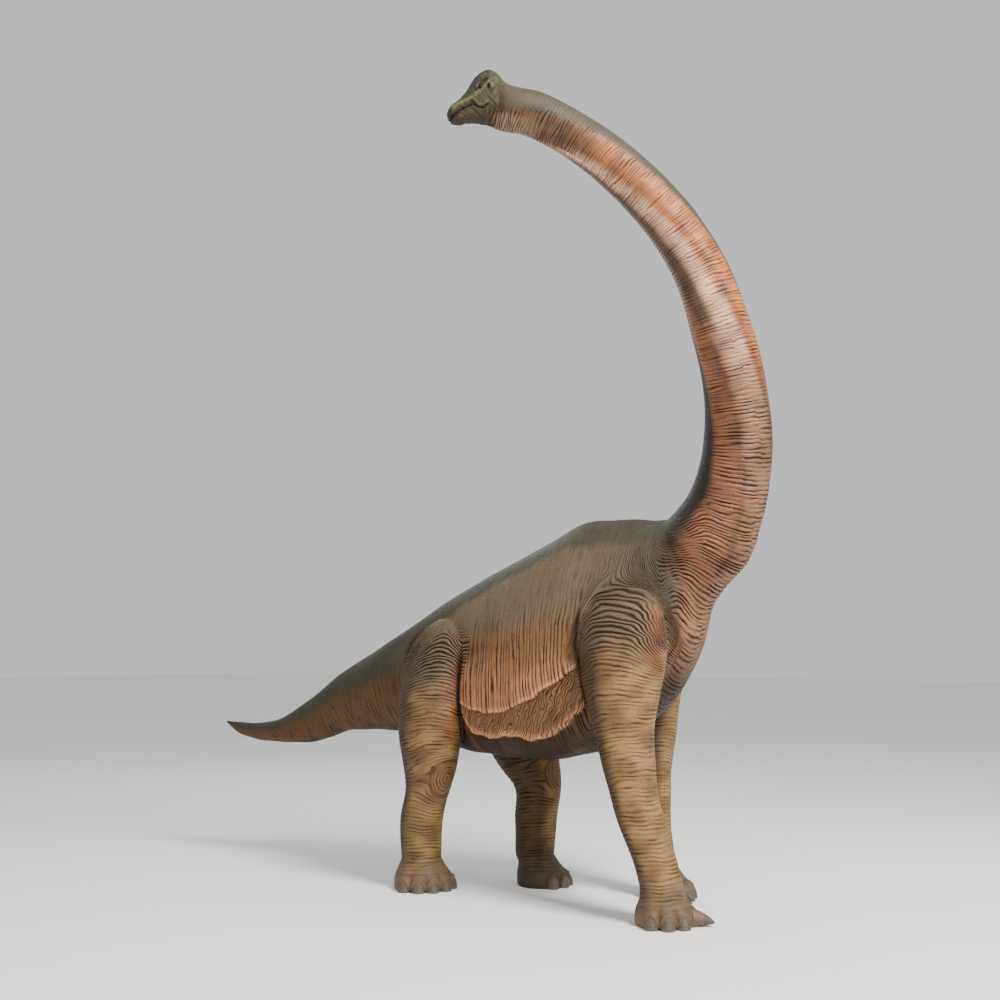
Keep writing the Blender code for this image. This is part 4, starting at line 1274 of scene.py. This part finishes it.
def painted_skin():
    """Paint mottled by noise, with painted shade in grooves and a painted highlight on ridges; satin;
    wrinkles and grain as bump.
    """
    made = Shader("painted_skin")
    place = made.add("ShaderNodeSeparateXYZ", Vector=made.place()).outputs
    grooves, lines, crest_highlights, streaky = [], [], [], []
    for name, fold_axis in (("spine", "X"), ("leg", "Z")):
        phase = made.attribute(f"{name}_fold", "Fac")
        depth = made.attribute(f"{name}_depth", "Fac")
        wobble = made.times(made.less(made.noise(22.0), 0.5), WOBBLE)
        # noise that changes quickly from fold to fold and slowly along each of them
        slow = {axis: made.times(place[k], SLOW_ALONG) for k, axis in enumerate("XYZ") if axis != fold_axis}
        lay = made.add("ShaderNodeCombineXYZ", **slow, **{fold_axis: phase}).outputs[0]
        uneven = made.noise(1.3, 4.0, lay)
        streaky.append(made.times(made.spread(uneven, 0.50, 0.66, 0.0, 1.0),
                                  made.spread(depth, 0.0, 0.25, 0.0, 1.0)))
        depth = made.times(depth, made.spread(uneven, 0.36, 0.62, 0.60, 1.12))
        crest = made.wave(made.times(made.plus(phase, wobble), math.pi))
        grooves.append(made.times(made.power(made.less(1.0, crest), 1.1), depth))
        crest_highlights.append(made.times(made.power(crest, 3.0), depth))
        # between every two grooves runs one more fine line
        finer = made.times(made.plus(phase, made.times(wobble, 1.6)), 2 * math.pi)
        lines.append(made.times(made.less(1.0, made.power(made.wave(finer), 0.5)), depth))
    groove = made.math("MINIMUM", made.plus(*grooves), 1.0)
    line = made.plus(*lines)
    patch = made.spread(made.noise(5.0, 5.0), 0.35, 0.68, 0.0, 1.0)
    speck = made.spread(made.noise(46.0, 4.0), 0.54, 0.70, 0.0, 1.0)
    # where, how strongly, and the colour that the paint is multiplied by there; the fine lines and the
    # grooves are painted shade, the fold ridges a painted highlight
    base = made.attribute("paint", "Color")
    for where, strength, tint in (
            (patch, 0.30, (0.62, 0.60, 0.56)), (speck, 0.35, (0.45, 0.40, 0.34)),
            (made.math("MAXIMUM", *streaky), 0.45, (0.46, 0.38, 0.30)), (line, 0.45, (0.40, 0.32, 0.26)),
            (made.plus(*crest_highlights), 0.60, (1.55, 1.50, 1.45)), (groove, 0.95, (0.10, 0.065, 0.045))):
        base = made.blend("MULTIPLY", made.times(where, strength), base, tint)
    rough = made.plus(made.times(made.noise(30.0), 0.18), 0.50)
    rough = made.less(rough, made.times(made.attribute("gloss", "Fac"), 0.20))
    pebbles = made.add("ShaderNodeTexVoronoi", {"feature": "SMOOTH_F1"}, Vector=made.place(), Scale=150.0)
    height = made.times(pebbles.outputs["Distance"], GRAIN_BUMP)
    height = made.plus(height, made.times(made.noise(70.0, 4.0), NOISE_BUMP))
    height = made.less(height, made.times(groove, GROOVE_BUMP))
    height = made.less(height, made.times(line, LINE_BUMP))
    return made.finish(base, rough, height, Specular_IOR_Level=0.28)


skin_material = painted_skin()
print("nodes in the skin material:", len(skin_material.node_tree.nodes))

# %% [markdown]
# The shell is shared out into lengths that stay light enough to handle. Neighbours share their
# border points and, because each length is given the whole shell's normals, the light runs over
# the borders without a line.


# %% Lengths of skin
def set_attributes(mesh, attributes):
    """Give a mesh its attributes by point: colours where the values come in threes, numbers elsewhere."""
    for key, values in attributes.items():
        kind, field = ("FLOAT_COLOR", "color") if values.ndim == 2 else ("FLOAT", "value")
        if values.ndim == 2:
            values = np.hstack([values, np.ones((len(values), 1))])
        layer = mesh.attributes.new(key, kind, "POINT")
        layer.data.foreach_set(field, values.astype(np.float32).ravel())


def finish_piece(name, mesh, finish):
    """A piece that shows the mesh in its finish and rides on the statue's one body."""
    mesh.materials.append(finish)
    piece = new_object(name, mesh)
    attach(piece, "root")
    return piece


def skin_piece(name, points, faces, normals, attributes, uv):
    """Triangles with given normals, attributes by point and a UV by corner, in the painted skin."""
    used, compact = np.unique(faces, return_inverse=True)
    compact = compact.reshape(faces.shape)
    mesh = bpy.data.meshes.new(name)
    mesh.vertices.add(len(used))
    mesh.vertices.foreach_set("co", points[used].astype(np.float32).ravel())
    mesh.loops.add(compact.size)
    mesh.loops.foreach_set("vertex_index", compact.astype(np.int32).ravel())
    mesh.polygons.add(len(compact))
    mesh.polygons.foreach_set("loop_start", np.arange(0, compact.size, 3, dtype=np.int32))
    set_attributes(mesh, {key: values[used] for key, values in attributes.items()})
    layer = mesh.uv_layers.new(name="OFBake")
    layer.data.foreach_set("uv", uv.astype(np.float32).ravel())
    mesh.update()
    mesh.validate()
    mesh.shade_smooth()
    mesh.normals_split_custom_set_from_vertices(normals[used].astype(np.float32).tolist())
    return finish_piece(name, mesh, skin_material)


def wrap_uv(faces, along, around, strips=1):
    """UV of every face corner: strips of the length side by side, each as wide as one turn round."""
    low, high = along[faces].min(), along[faces].max()
    share = (along - low) / (high - low) * strips
    turned = around[faces] / (2 * math.pi) + 0.5
    turned = np.where(turned.max(axis=1, keepdims=True) - turned > 0.5, turned + 1, turned)
    strip = np.clip(np.floor(share[faces].min(axis=1, keepdims=True)), 0, strips - 1)
    u = (strip + np.clip(turned, 0, 1.04) / 1.06 + 0.01) / strips
    return np.stack([u, np.clip(share[faces] - strip, 0, 1.02) / 1.03 + 0.005], axis=-1)


skin_normals = vertex_normals(skin, shell_triangles)
GLOSS_ALONG = ((0.0, 3.8, 4.6, 5.4, 7.2, 7.8, 8.31), (0.1, 0.15, 0.6, 1.0, 0.8, 0.35, 0.25))


def gloss_of(along, turn):
    """How glossy the paint is: most on the sides and the throat of the neck, least on its back."""
    return read(*GLOSS_ALONG, along) * (0.25 + 0.75 * step(1.5, 2.0, np.abs(turn)))


def skin_attributes(paint, gloss, spine_fold, spine_depth, leg_fold=None, leg_depth=None):
    """What the skin's material reads at each point; lengths without legs have no leg folds."""
    none = np.zeros(len(paint))
    leg_fold, leg_depth = (none if values is None else values for values in (leg_fold, leg_depth))
    return {"paint": paint, "spine_fold": spine_fold, "spine_depth": spine_depth,
            "leg_fold": leg_fold, "leg_depth": leg_depth, "gloss": gloss}


shell_attributes = skin_attributes(colour, gloss_of(along, turn) * off_leg, spine_fold,
                                   spine_dark * (1 - on_leg_folds), leg_fold, leg_dark * on_leg_folds)
face_on_leg = on_leg[shell_triangles].mean(axis=1) > 0.5
face_leg = leg_index[shell_triangles[:, 0]]
face_along = along[shell_triangles].mean(axis=1)
SHARED_OUT = (0.0, 2.15, 3.05, 3.75, 6.0)      # distances along the spine between the lengths
LENGTHS = (
    ("skin_tail", ("tail_1", "tail_2", "tail_3"), "tail_skin"),
    ("skin_hips", ("trunk",), "trunk_skin"),
    ("skin_flank", ("trunk",), "trunk_skin"),
    ("skin_chest", ("neck_1",), "trunk_skin"),
)
skins = []
for (name, nodes, slot), low, high in zip(LENGTHS, SHARED_OUT[:-1], SHARED_OUT[1:]):
    skins.append((name, ~face_on_leg & (face_along >= low) & (face_along < high), nodes, slot))
for i, leg in enumerate(names):
    parts = tuple(f"{leg}_{part}" for part in ("leg_upper", "leg_lower", "foot"))
    skins.append((f"skin_{leg}_leg", face_on_leg & (face_leg == i), parts, "leg_skin"))
for name, chosen, nodes, slot in skins:
    faces = shell_triangles[chosen]
    uv = wrap_uv(faces, *((shell_z, leg_turn) if slot == "leg_skin" else (along, turn)))
    piece = skin_piece(name, skin, faces, skin_normals, shell_attributes, uv)
    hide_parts(*nodes)
    print(name, len(faces), "triangles")

# %% [markdown]
# The neck is a plain tube, so it is a grid of rings, close enough together to carry its fine
# folds. The same phase that folds the shell folds the grid, and the seam between them lies at
# the bottom of one fold.


# %% Neck
NECK_ROW = 0.0046
NECK_COLUMNS = 112
NECK_LAP = 0.002                  # the grid starts this far before the seam
NECK_STRIPS = 3                   # strips that its UV map is laid out in, side by side
HEAD_SEAM = 7.893


def ring_triangles(rows, around):
    """Two triangles for every cell of a closed grid of rings."""
    corner = np.arange(rows * around).reshape(rows, around)
    turned = np.roll(corner, -1, axis=1)
    first = np.stack([corner[:-1], turned[:-1], turned[1:]], axis=-1).reshape(-1, 3)
    second = np.stack([corner[:-1], turned[1:], corner[1:]], axis=-1).reshape(-1, 3)
    return np.vstack([first, second])[:, ::-1]


def closed_rings(rows, around):
    """Triangles of a closed grid of rings, and of fans to the two middle points that follow its own."""
    corner = np.arange(rows * around).reshape(rows, around)
    last = fan(corner[-1], rows * around + 1)[:, [1, 0, 2]]
    return np.vstack([ring_triangles(rows, around), fan(corner[0], rows * around), last])


def ring_grid(rows, around):
    """Distance along and turn of every point of a grid of rings."""
    return (values.ravel() for values in np.meshgrid(rows, full_turn(around), indexing="ij"))


def fold_spine_skin(points, faces, along, turn):
    """Push the points out by the spine's folds, and give their phase and the darkness of their painted groove
    shade too.
    """
    normals = vertex_normals(points, faces)
    phase = spine_phase(points, along, turn)
    height, darkness = spine_fold_strength(points, along, turn)
    push = fold_push(phase, height) + lumps(points, along)
    return points + normals * push[:, None], phase, darkness


rows = np.arange(NECK_SEAM - NECK_LAP, HEAD_SEAM + NECK_ROW, NECK_ROW)
rows[-1] = HEAD_SEAM
grid_along, grid_turn = ring_grid(rows, NECK_COLUMNS)
neck_points = spine_surface(grid_along, grid_turn)
neck_faces = ring_triangles(len(rows), NECK_COLUMNS)
neck_skin, neck_phase, neck_darkness = fold_spine_skin(neck_points, neck_faces, grid_along, grid_turn)
neck_attributes = skin_attributes(paint_spine(neck_points, grid_along, grid_turn),
                                  gloss_of(grid_along, grid_turn), neck_phase, neck_darkness)
neck = skin_piece("skin_neck", neck_skin, neck_faces, vertex_normals(neck_skin, neck_faces),
                  neck_attributes, wrap_uv(neck_faces, grid_along, grid_turn, NECK_STRIPS))
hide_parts("neck_2", "neck_3", "neck_4", "neck_5")
print("neck:", len(neck_faces), "triangles in", len(rows), "rings")

# %% [markdown]
# The head gets a grid of its own, finer than the neck's. Its features are lines and spots drawn
# on the side view, in metres ahead of the nape and above the floor: a point is pushed in or out
# by how near it lies to each. Both sides of the head get the same features.

# %% Lines of the face
MOUTH = ((0.352, 4.776), (0.338, 4.783), (0.300, 4.807), (0.254, 4.840), (0.198, 4.862), (0.180, 4.855),
         (0.160, 4.843), (0.137, 4.837), (0.120, 4.847), (0.106, 4.858))
UPPER_LIP, MOUTH_FRONT = MOUTH[:5], MOUTH[:4]
SNOUT_RIDGE = ((0.320, 4.850), (0.280, 4.874), (0.248, 4.889), (0.205, 4.905))
CHEEK_RIDGE = ((0.205, 4.905), (0.177, 4.930), (0.148, 4.951), (0.126, 4.974), (0.102, 5.000), (0.087, 4.997),
               (0.083, 4.975))
NOSE_RIDGE = ((0.102, 5.000), (0.099, 5.030), (0.118, 5.047), (0.146, 5.033), (0.168, 5.000))
LOW_RIDGE = ((0.197, 4.898), (0.168, 4.917), (0.149, 4.936))
JOWL_RIDGE = ((0.205, 4.903), (0.180, 4.878), (0.160, 4.857), (0.136, 4.850), (0.114, 4.868))
NOSTRIL_ARC = ((0.166, 4.985), (0.158, 5.003), (0.144, 5.016), (0.118, 5.026))
LIP_HOLLOW = ((0.290, 4.846), (0.250, 4.864), (0.215, 4.880), (0.188, 4.874))
# line, width, share of the ridges' full height
RIDGES = ((SNOUT_RIDGE, 0.0100, 1.0), (CHEEK_RIDGE, 0.0078, 0.9), (NOSE_RIDGE, 0.0100, 0.55),
          (LOW_RIDGE, 0.0055, 0.8), (JOWL_RIDGE, 0.0095, 0.65))
# ovals: middle, half length and half height; the eye's slit is slanted
EYE, EYE_HALF, EYE_SLANT = (0.144, 4.966), (0.0125, 0.0065), math.radians(44)
EAR, EAR_HALF = (0.103, 4.976), (0.010, 0.017)
SPOT, SPOT_HALF = (0.081, 4.946), (0.008, 0.008)
LIP_OFF = 0.0095                  # the lips' ridges lie this far above and below the mouth's line


def near_line(flat, line, width):
    """1 on a smooth line through the given points, falling off as exp(-(distance / width)^2)."""
    nearest = np.full(len(flat), np.inf)
    if len(line) > 2:
        line = smooth(np.arange(len(line)), line, np.linspace(0, len(line) - 1, 4 * len(line)))
    for start, end in zip(np.array(line[:-1]), np.array(line[1:])):
        way = end - start
        share = np.clip((flat - start) @ way / max(way @ way, 1e-12), 0, 1)
        nearest = np.minimum(nearest, np.linalg.norm(flat - start - share[:, None] * way, axis=1))
    return bell(nearest, width)


def oval(flat, centre, half, slant=0.0):
    """Distance from a slanted oval's centre, where 1 is its edge."""
    away = flat - np.array(centre)
    long_way = away @ np.array([-math.cos(slant), math.sin(slant)])
    short_way = away @ np.array([math.sin(slant), math.cos(slant)])
    return np.hypot(long_way / half[0], short_way / half[1])


# %% Head
HEAD_ROW = 0.0021
HEAD_COLUMNS = 220
NOSE_ROUND = 0.022                # length over which the snout closes
NOSE_ROWS = 16
rows = np.concatenate([np.arange(HEAD_SEAM, SPINE_END - NOSE_ROUND, HEAD_ROW),
                       SPINE_END - NOSE_ROUND * (1 - np.sin(np.linspace(0, math.pi / 2, NOSE_ROWS)))])
grid_along, grid_turn = ring_grid(rows, HEAD_COLUMNS)
head_points = spine_surface(grid_along, grid_turn)
closing = np.clip((grid_along - SPINE_END + NOSE_ROUND) / NOSE_ROUND, 0, 1)
nose_middle = head_points.reshape(len(rows), HEAD_COLUMNS, 3).mean(axis=1).repeat(HEAD_COLUMNS, axis=0)
head_points = nose_middle + (head_points - nose_middle) * np.sqrt(1.0005 - closing ** 2)[:, None]
last_ring = np.arange(HEAD_COLUMNS) + (len(rows) - 1) * HEAD_COLUMNS
tip_fan = fan(last_ring, len(head_points))[:, [1, 0, 2]]
head_faces = np.vstack([ring_triangles(len(rows), HEAD_COLUMNS), tip_fan])
head_points = np.vstack([head_points, head_points[last_ring].mean(axis=0)])
grid_along = np.append(grid_along, SPINE_END)
grid_turn = np.append(grid_turn, 0.0)

from_nape = head_points + MIDDLE - HEAD_ROOT
flat = np.stack([from_nape @ HEAD_AHEAD, head_points[:, 2]], axis=-1)
off_middle = np.abs(from_nape @ HEAD_LEFT)
sideways = step(0.012, 0.030, off_middle)
mouth = np.maximum(near_line(flat, MOUTH, 0.0050), near_line(flat, MOUTH_FRONT, 0.0066))
ridges = np.maximum.reduce([near_line(flat, line, width) * high * sideways for line, width, high in RIDGES])
nostril = np.maximum(near_line(flat, NOSTRIL_ARC, 0.0075), near_line(flat, NOSTRIL_ARC[-2:], 0.0085))
nostril = nostril * sideways
ear = (1 - step(0.55, 1.25, oval(flat, EAR, EAR_HALF))) * sideways
spot = 0.6 * (1 - step(0.4, 1.3, oval(flat, SPOT, SPOT_HALF))) * sideways
eye_reach = oval(flat, EYE, EYE_HALF, EYE_SLANT)
eye_hole = (1 - step(0.75, 1.15, eye_reach)) * sideways
lids = bell(eye_reach - 1.45, 0.32) * sideways
lip_hollow = near_line(flat, LIP_HOLLOW, 0.011) * sideways
lips = near_line(flat + [0, -LIP_OFF], UPPER_LIP, 0.006) + near_line(flat + [0, LIP_OFF], UPPER_LIP, 0.006)
# the neck's rings run on a little farther under the jaw than on top
ringed = 0.045 * step(1.9, 2.4, np.abs(grid_turn))
on_head = step(-0.02, 0.05, flat[:, 0] - ringed)

# how far each feature pushes the skin out, in metres
features = (
    (mouth, -0.0095), (ridges, 0.0065), (nostril, -0.0105), (ear, -0.0140), (spot, -0.0050),
    (eye_hole, -0.0150), (lids, 0.0010), (lip_hollow, -0.0050), (lips, 0.0030),
    (ripple(head_points, 0.030, 61) * on_head, 0.0012),
)
face_push = sum(depth * feature for feature, depth in features)
head_skin, head_phase, head_darkness = fold_spine_skin(head_points, head_faces, grid_along, grid_turn)
head_skin = head_skin + vertex_normals(head_points, head_faces) * face_push[:, None]

jaw = 1 - step(-0.004, 0.004, flat[:, 1] - read(*np.array(MOUTH[::-1]).T, flat[:, 0]))
blotch = patches(head_points, 0.05, 62)
pale = np.maximum(near_line(flat, SNOUT_RIDGE, 0.015), 0.8 * near_line(flat, CHEEK_RIDGE, 0.011)) * sideways
# painted shade round the nostril's arc, the eye and from ear to spot
shade = (near_line(flat, NOSTRIL_ARC, 0.020) + near_line(flat, (EYE, EYE), 0.023)
         + near_line(flat, (EAR, SPOT), 0.016))
nostril_paint = 0.9 * near_line(flat, NOSTRIL_ARC, 0.0105) * sideways
# painted shade in the mouth's groove, the nostril, ear, spot, lip hollow and eye hole
dark = np.clip(mouth + nostril_paint + ear + spot + 0.5 * lip_hollow + eye_hole, 0, 1)
head_paint = layered(
    HEAD_GREEN,
    (TAUPE, 0.35 * (1 - step(0.03, 0.12, flat[:, 0]))),
    (JAW_BROWN, jaw * step(-0.03, 0.03, flat[:, 0])),
    (LIP_BROWN, 0.85 * near_line(flat + [0, -0.014], UPPER_LIP, 0.012) * sideways),
    # painted shade under the upper lip
    (UNDER_LIP_SHADE, 0.6 * near_line(flat + [0, 0.009], UPPER_LIP, 0.011) * sideways),
    (HEAD_RIDGE, (0.40 + 0.35 * blotch) * pale + 0.22 * (ridges - pale).clip(0, 1)),
    (HEAD_BLOTCH, 0.50 * blotch * (1 - pale)),
    (EYE_SHADE, 0.85 * np.clip(shade, 0, 1) * sideways * (1 - pale)),
    # painted shade along the top of the head's middle
    (CREST_SHADE, 0.6 * (1 - step(0.015, 0.034, off_middle)) * (1 - jaw)),
    (RECESS_SHADE, 0.96 * dark))
neck_paint = paint_spine(head_points, grid_along, grid_turn)
head_paint = neck_paint + (head_paint - neck_paint) * on_head[:, None]
head_attributes = skin_attributes(head_paint, gloss_of(grid_along, grid_turn) * (1 - on_head),
                                  head_phase, head_darkness)
head = skin_piece("skin_head", head_skin, head_faces, vertex_normals(head_skin, head_faces),
                  head_attributes, wrap_uv(head_faces, grid_along, grid_turn))
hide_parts("head", "lower_jaw")
print("head:", len(head_faces), "triangles")

# %% [markdown]
# The eyes are glossy balls set behind the slits of the lids. A ball is a grid of rings round the
# direction it looks in, and carries its distance from that direction, from which the material
# makes the pupil and the iris.


# %% Eyes
EYE_OUT = 0.066                   # from the head's middle plane to the ball's centre
EYE_AHEAD = 0.25                  # how much each eye looks ahead
EYE_RADIUS = 0.0172


def ball(centre, look, radius, rings=28, around=40):
    """centre + radius * (look * cos(a) + across * sin(a)), with a from 0 to half a turn."""
    look = unit(look)
    across = unit(np.cross(look, [0, 0, 1]))
    upward = np.cross(across, look)
    tilt, spin = ring_grid(np.linspace(0, math.pi, rings)[1:-1], around)
    tilt, spin = tilt[:, None], spin[:, None]
    out = across * np.cos(spin) + upward * np.sin(spin)
    points = centre + radius * (look * np.cos(tilt) + out * np.sin(tilt))
    points = np.vstack([points, centre + radius * look, centre - radius * look])
    return points, closed_rings(rings - 2, around)[:, ::-1], np.append(tilt, [0.0, math.pi])


def eye_finish():
    """Black pupil, dark brown iris and rim from the distance off the axis, under a clear coat."""
    made = Shader("eye_gloss")
    off_axis = made.attribute("off_axis", "Fac")
    fibre = made.times(made.noise(900.0, 3.0), 0.5)
    iris = made.blend("MIX", fibre, (0.006, 0.005, 0.003), (0.006, 0.003, 0.002))
    pupil = made.spread(off_axis, 0.24, 0.30, 1.0, 0.0)
    rim = made.spread(off_axis, 0.62, 0.85, 0.0, 1.0)
    colour = made.blend("MIX", pupil, iris, (0.002, 0.002, 0.002))
    colour = made.blend("MIX", rim, colour, (0.012, 0.010, 0.008))
    return made.finish(colour, 0.34, Specular_IOR_Level=0.20, Coat_Weight=0.05, Coat_Roughness=0.08)


def plain_piece(name, points, faces, attributes, finish):
    """A smooth piece of triangles with attributes by point."""
    mesh = bpy.data.meshes.new(name)
    mesh.from_pydata(points.tolist(), [], faces.tolist())
    set_attributes(mesh, attributes)
    mesh.shade_smooth()
    return finish_piece(name, mesh, finish)


eye_material = eye_finish()
for label, hand in (("left", 1), ("right", -1)):
    centre = HEAD_ROOT + HEAD_AHEAD * EYE[0] + HEAD_LEFT * EYE_OUT * hand - MIDDLE + [0, 0, EYE[1]]
    points, faces, off_axis = ball(centre, HEAD_LEFT * hand + HEAD_AHEAD * EYE_AHEAD, EYE_RADIUS)
    eye = plain_piece(f"eyeball_{label}", points, faces, {"off_axis": off_axis}, eye_material)
    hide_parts(f"eye_{label}")
    print("eye", label, len(faces), "triangles")

# %% [markdown]
# Nails are blunt arches of horn and each forefoot's thumb has a pointed claw. Both are stacks of
# ellipses: the nail narrows upwards like an arch and leans in, the claw shrinks to its point.


# %% Nails and claws
NAIL_DEPTH = 0.040
NAIL_SUNK = 0.020                 # the nail's middle lies this far inside the toe's bulge
NAIL_LEAN = 0.016                 # its top leans in by this
NAIL_FOOT = 0.003                 # its foot is this high above the floor
CLAW_LENGTH, CLAW_RADIUS, CLAW_DROP = 0.124, 0.050, 0.028
CLAW_WIDER = 1.2                  # how much wider than high the claw is
CLAW_HEIGHT, CLAW_SUNK = 0.051, 0.055      # height of its root, and how far that lies inside the thumb
CLAW_FLESH = (0.42, 0.54)         # shares of its length between which flesh turns to horn


def toe_frame(leg, degrees):
    """The level direction of a toe and the level direction across it."""
    angle = math.radians(degrees)
    out = np.array([math.cos(angle), -LEGS[leg][1] * math.sin(angle), 0.0])
    return out, np.array([-out[1], out[0], 0.0])


def nail_surface(leg, degrees, rings=26, around=36):
    """Level ellipses of half width W sqrt(1 - v^3.2), which lean in by v^2, for v from foot to top."""
    side, sole, reach = LEGS[leg][1:4]
    out, across = toe_frame(leg, degrees)
    rows = 0.985 * np.sin(np.linspace(0, math.pi / 2, rings))
    share, spin = np.meshgrid(rows, full_turn(around), indexing="ij")
    arch = np.sqrt(1 - share ** 3.2)
    width = NAIL_WIDTH * arch
    depth = NAIL_DEPTH * (0.55 + 0.45 * arch)
    growth = 1 + 0.018 * np.sin(share * 46.0) + 0.02 * np.sin(spin * 9 + degrees)
    start = np.array([sole[0], side * sole[1], NAIL_FOOT]) - MIDDLE
    centre = start + out * (reach + TOE_SWELL - NAIL_SUNK - NAIL_LEAN * share ** 2)[..., None]
    points = (centre + np.cos(spin)[..., None] * across * (width * growth)[..., None]
              + np.sin(spin)[..., None] * out * (depth * growth)[..., None])
    points[..., 2] += share * NAIL_HEIGHT
    return points, share


def claw_surface(leg, degrees, rings=30, around=36):
    """Rings of radius R (1 - v)^0.6 along the thumb, wider than high, which sink by v^1.5 to the point."""
    side, sole, reach = LEGS[leg][1:4]
    out, across = toe_frame(leg, degrees)
    upward = np.array([0.0, 0.0, 1.0])
    share, spin = np.meshgrid(np.linspace(0, 0.992, rings), full_turn(around), indexing="ij")
    radius = CLAW_RADIUS * (1 - share) ** 0.6 * (1 + 0.02 * np.sin(share * 60.0))
    root = np.array([sole[0], side * sole[1], CLAW_HEIGHT]) - MIDDLE + out * (reach + THUMB_SWELL - CLAW_SUNK)
    points = (root + out * (CLAW_LENGTH * share)[..., None] - upward * (CLAW_DROP * share ** 1.5)[..., None]
              + np.cos(spin)[..., None] * across * CLAW_WIDER * radius[..., None]
              + np.sin(spin)[..., None] * upward * radius[..., None])
    return points, share


def horn_finish():
    """Grey-brown horn with darker growth lines, streaks and a worn pale edge."""
    made = Shader("nail_horn")
    share = made.attribute("share", "Fac")
    streak = made.noise(60.0, 4.0)
    bands = made.math("SINE", made.plus(made.times(share, 70.0), made.times(streak, 6.0)))
    band = made.spread(bands, -1.0, 1.0, 0.0, 0.35)
    colour = made.blend("MIX", streak, (0.050, 0.037, 0.026), (0.105, 0.081, 0.058))
    colour = made.blend("MULTIPLY", band, colour, (0.45, 0.42, 0.38))
    worn = made.times(made.spread(share, 0.0, 0.16, 1.0, 0.0), 0.45)
    colour = made.blend("MIX", worn, colour, (0.17, 0.145, 0.115))
    wrinkled = made.blend("MIX", band, (0.150, 0.098, 0.058), (0.035, 0.022, 0.013))
    colour = made.blend("MIX", made.attribute("fleshy", "Fac"), colour, wrinkled)
    rough = made.plus(made.times(streak, 0.2), 0.42)
    height = made.plus(made.times(bands, 0.0006), made.times(made.noise(180.0), 0.0010))
    return made.finish(colour, rough, height)


def tube_piece(grids):
    """Points, triangles and shares of several closed tubes in one piece."""
    points, faces, shares, first = [], [], [], 0
    for grid, share in grids:
        points.append(with_ends(grid))
        faces.append(closed_rings(*grid.shape[:2]) + first)
        shares.append(np.append(share, [share[0, 0], share[-1, 0]]))
        first += len(points[-1])
    return np.vstack(points), np.vstack(faces), np.concatenate(shares)


def outward(points, faces):
    """The same triangles, turned round if they enclose a negative volume."""
    a, b, c = (points[faces[:, k]] - points.mean(axis=0) for k in range(3))
    return faces if np.einsum("ij,ij->i", a, np.cross(b, c)).sum() > 0 else faces[:, ::-1]


def horn_piece(name, grids, nodes, flesh=lambda share: 0 * share):
    """Nails or a claw from their grids, with the share of flesh at each share of the length."""
    points, faces, share = tube_piece(grids)
    piece = plain_piece(name, points, outward(points, faces), {"share": share, "fleshy": flesh(share)}, horn)
    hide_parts(*nodes)


horn = horn_finish()
for leg, (_, _, _, _, toes, thumb) in LEGS.items():
    nodes = [f"{leg}_nail_{k + 1}" for k in range(len(toes))]
    horn_piece(f"nails_{leg}", [nail_surface(leg, degrees) for degrees in toes], nodes)
    if thumb is not None:
        horn_piece(f"claw_{leg}", [claw_surface(leg, thumb)], [f"{leg}_claw"],
                   lambda share: 1 - step(*CLAW_FLESH, share))
    print("horn of", leg, len(toes), "nails")
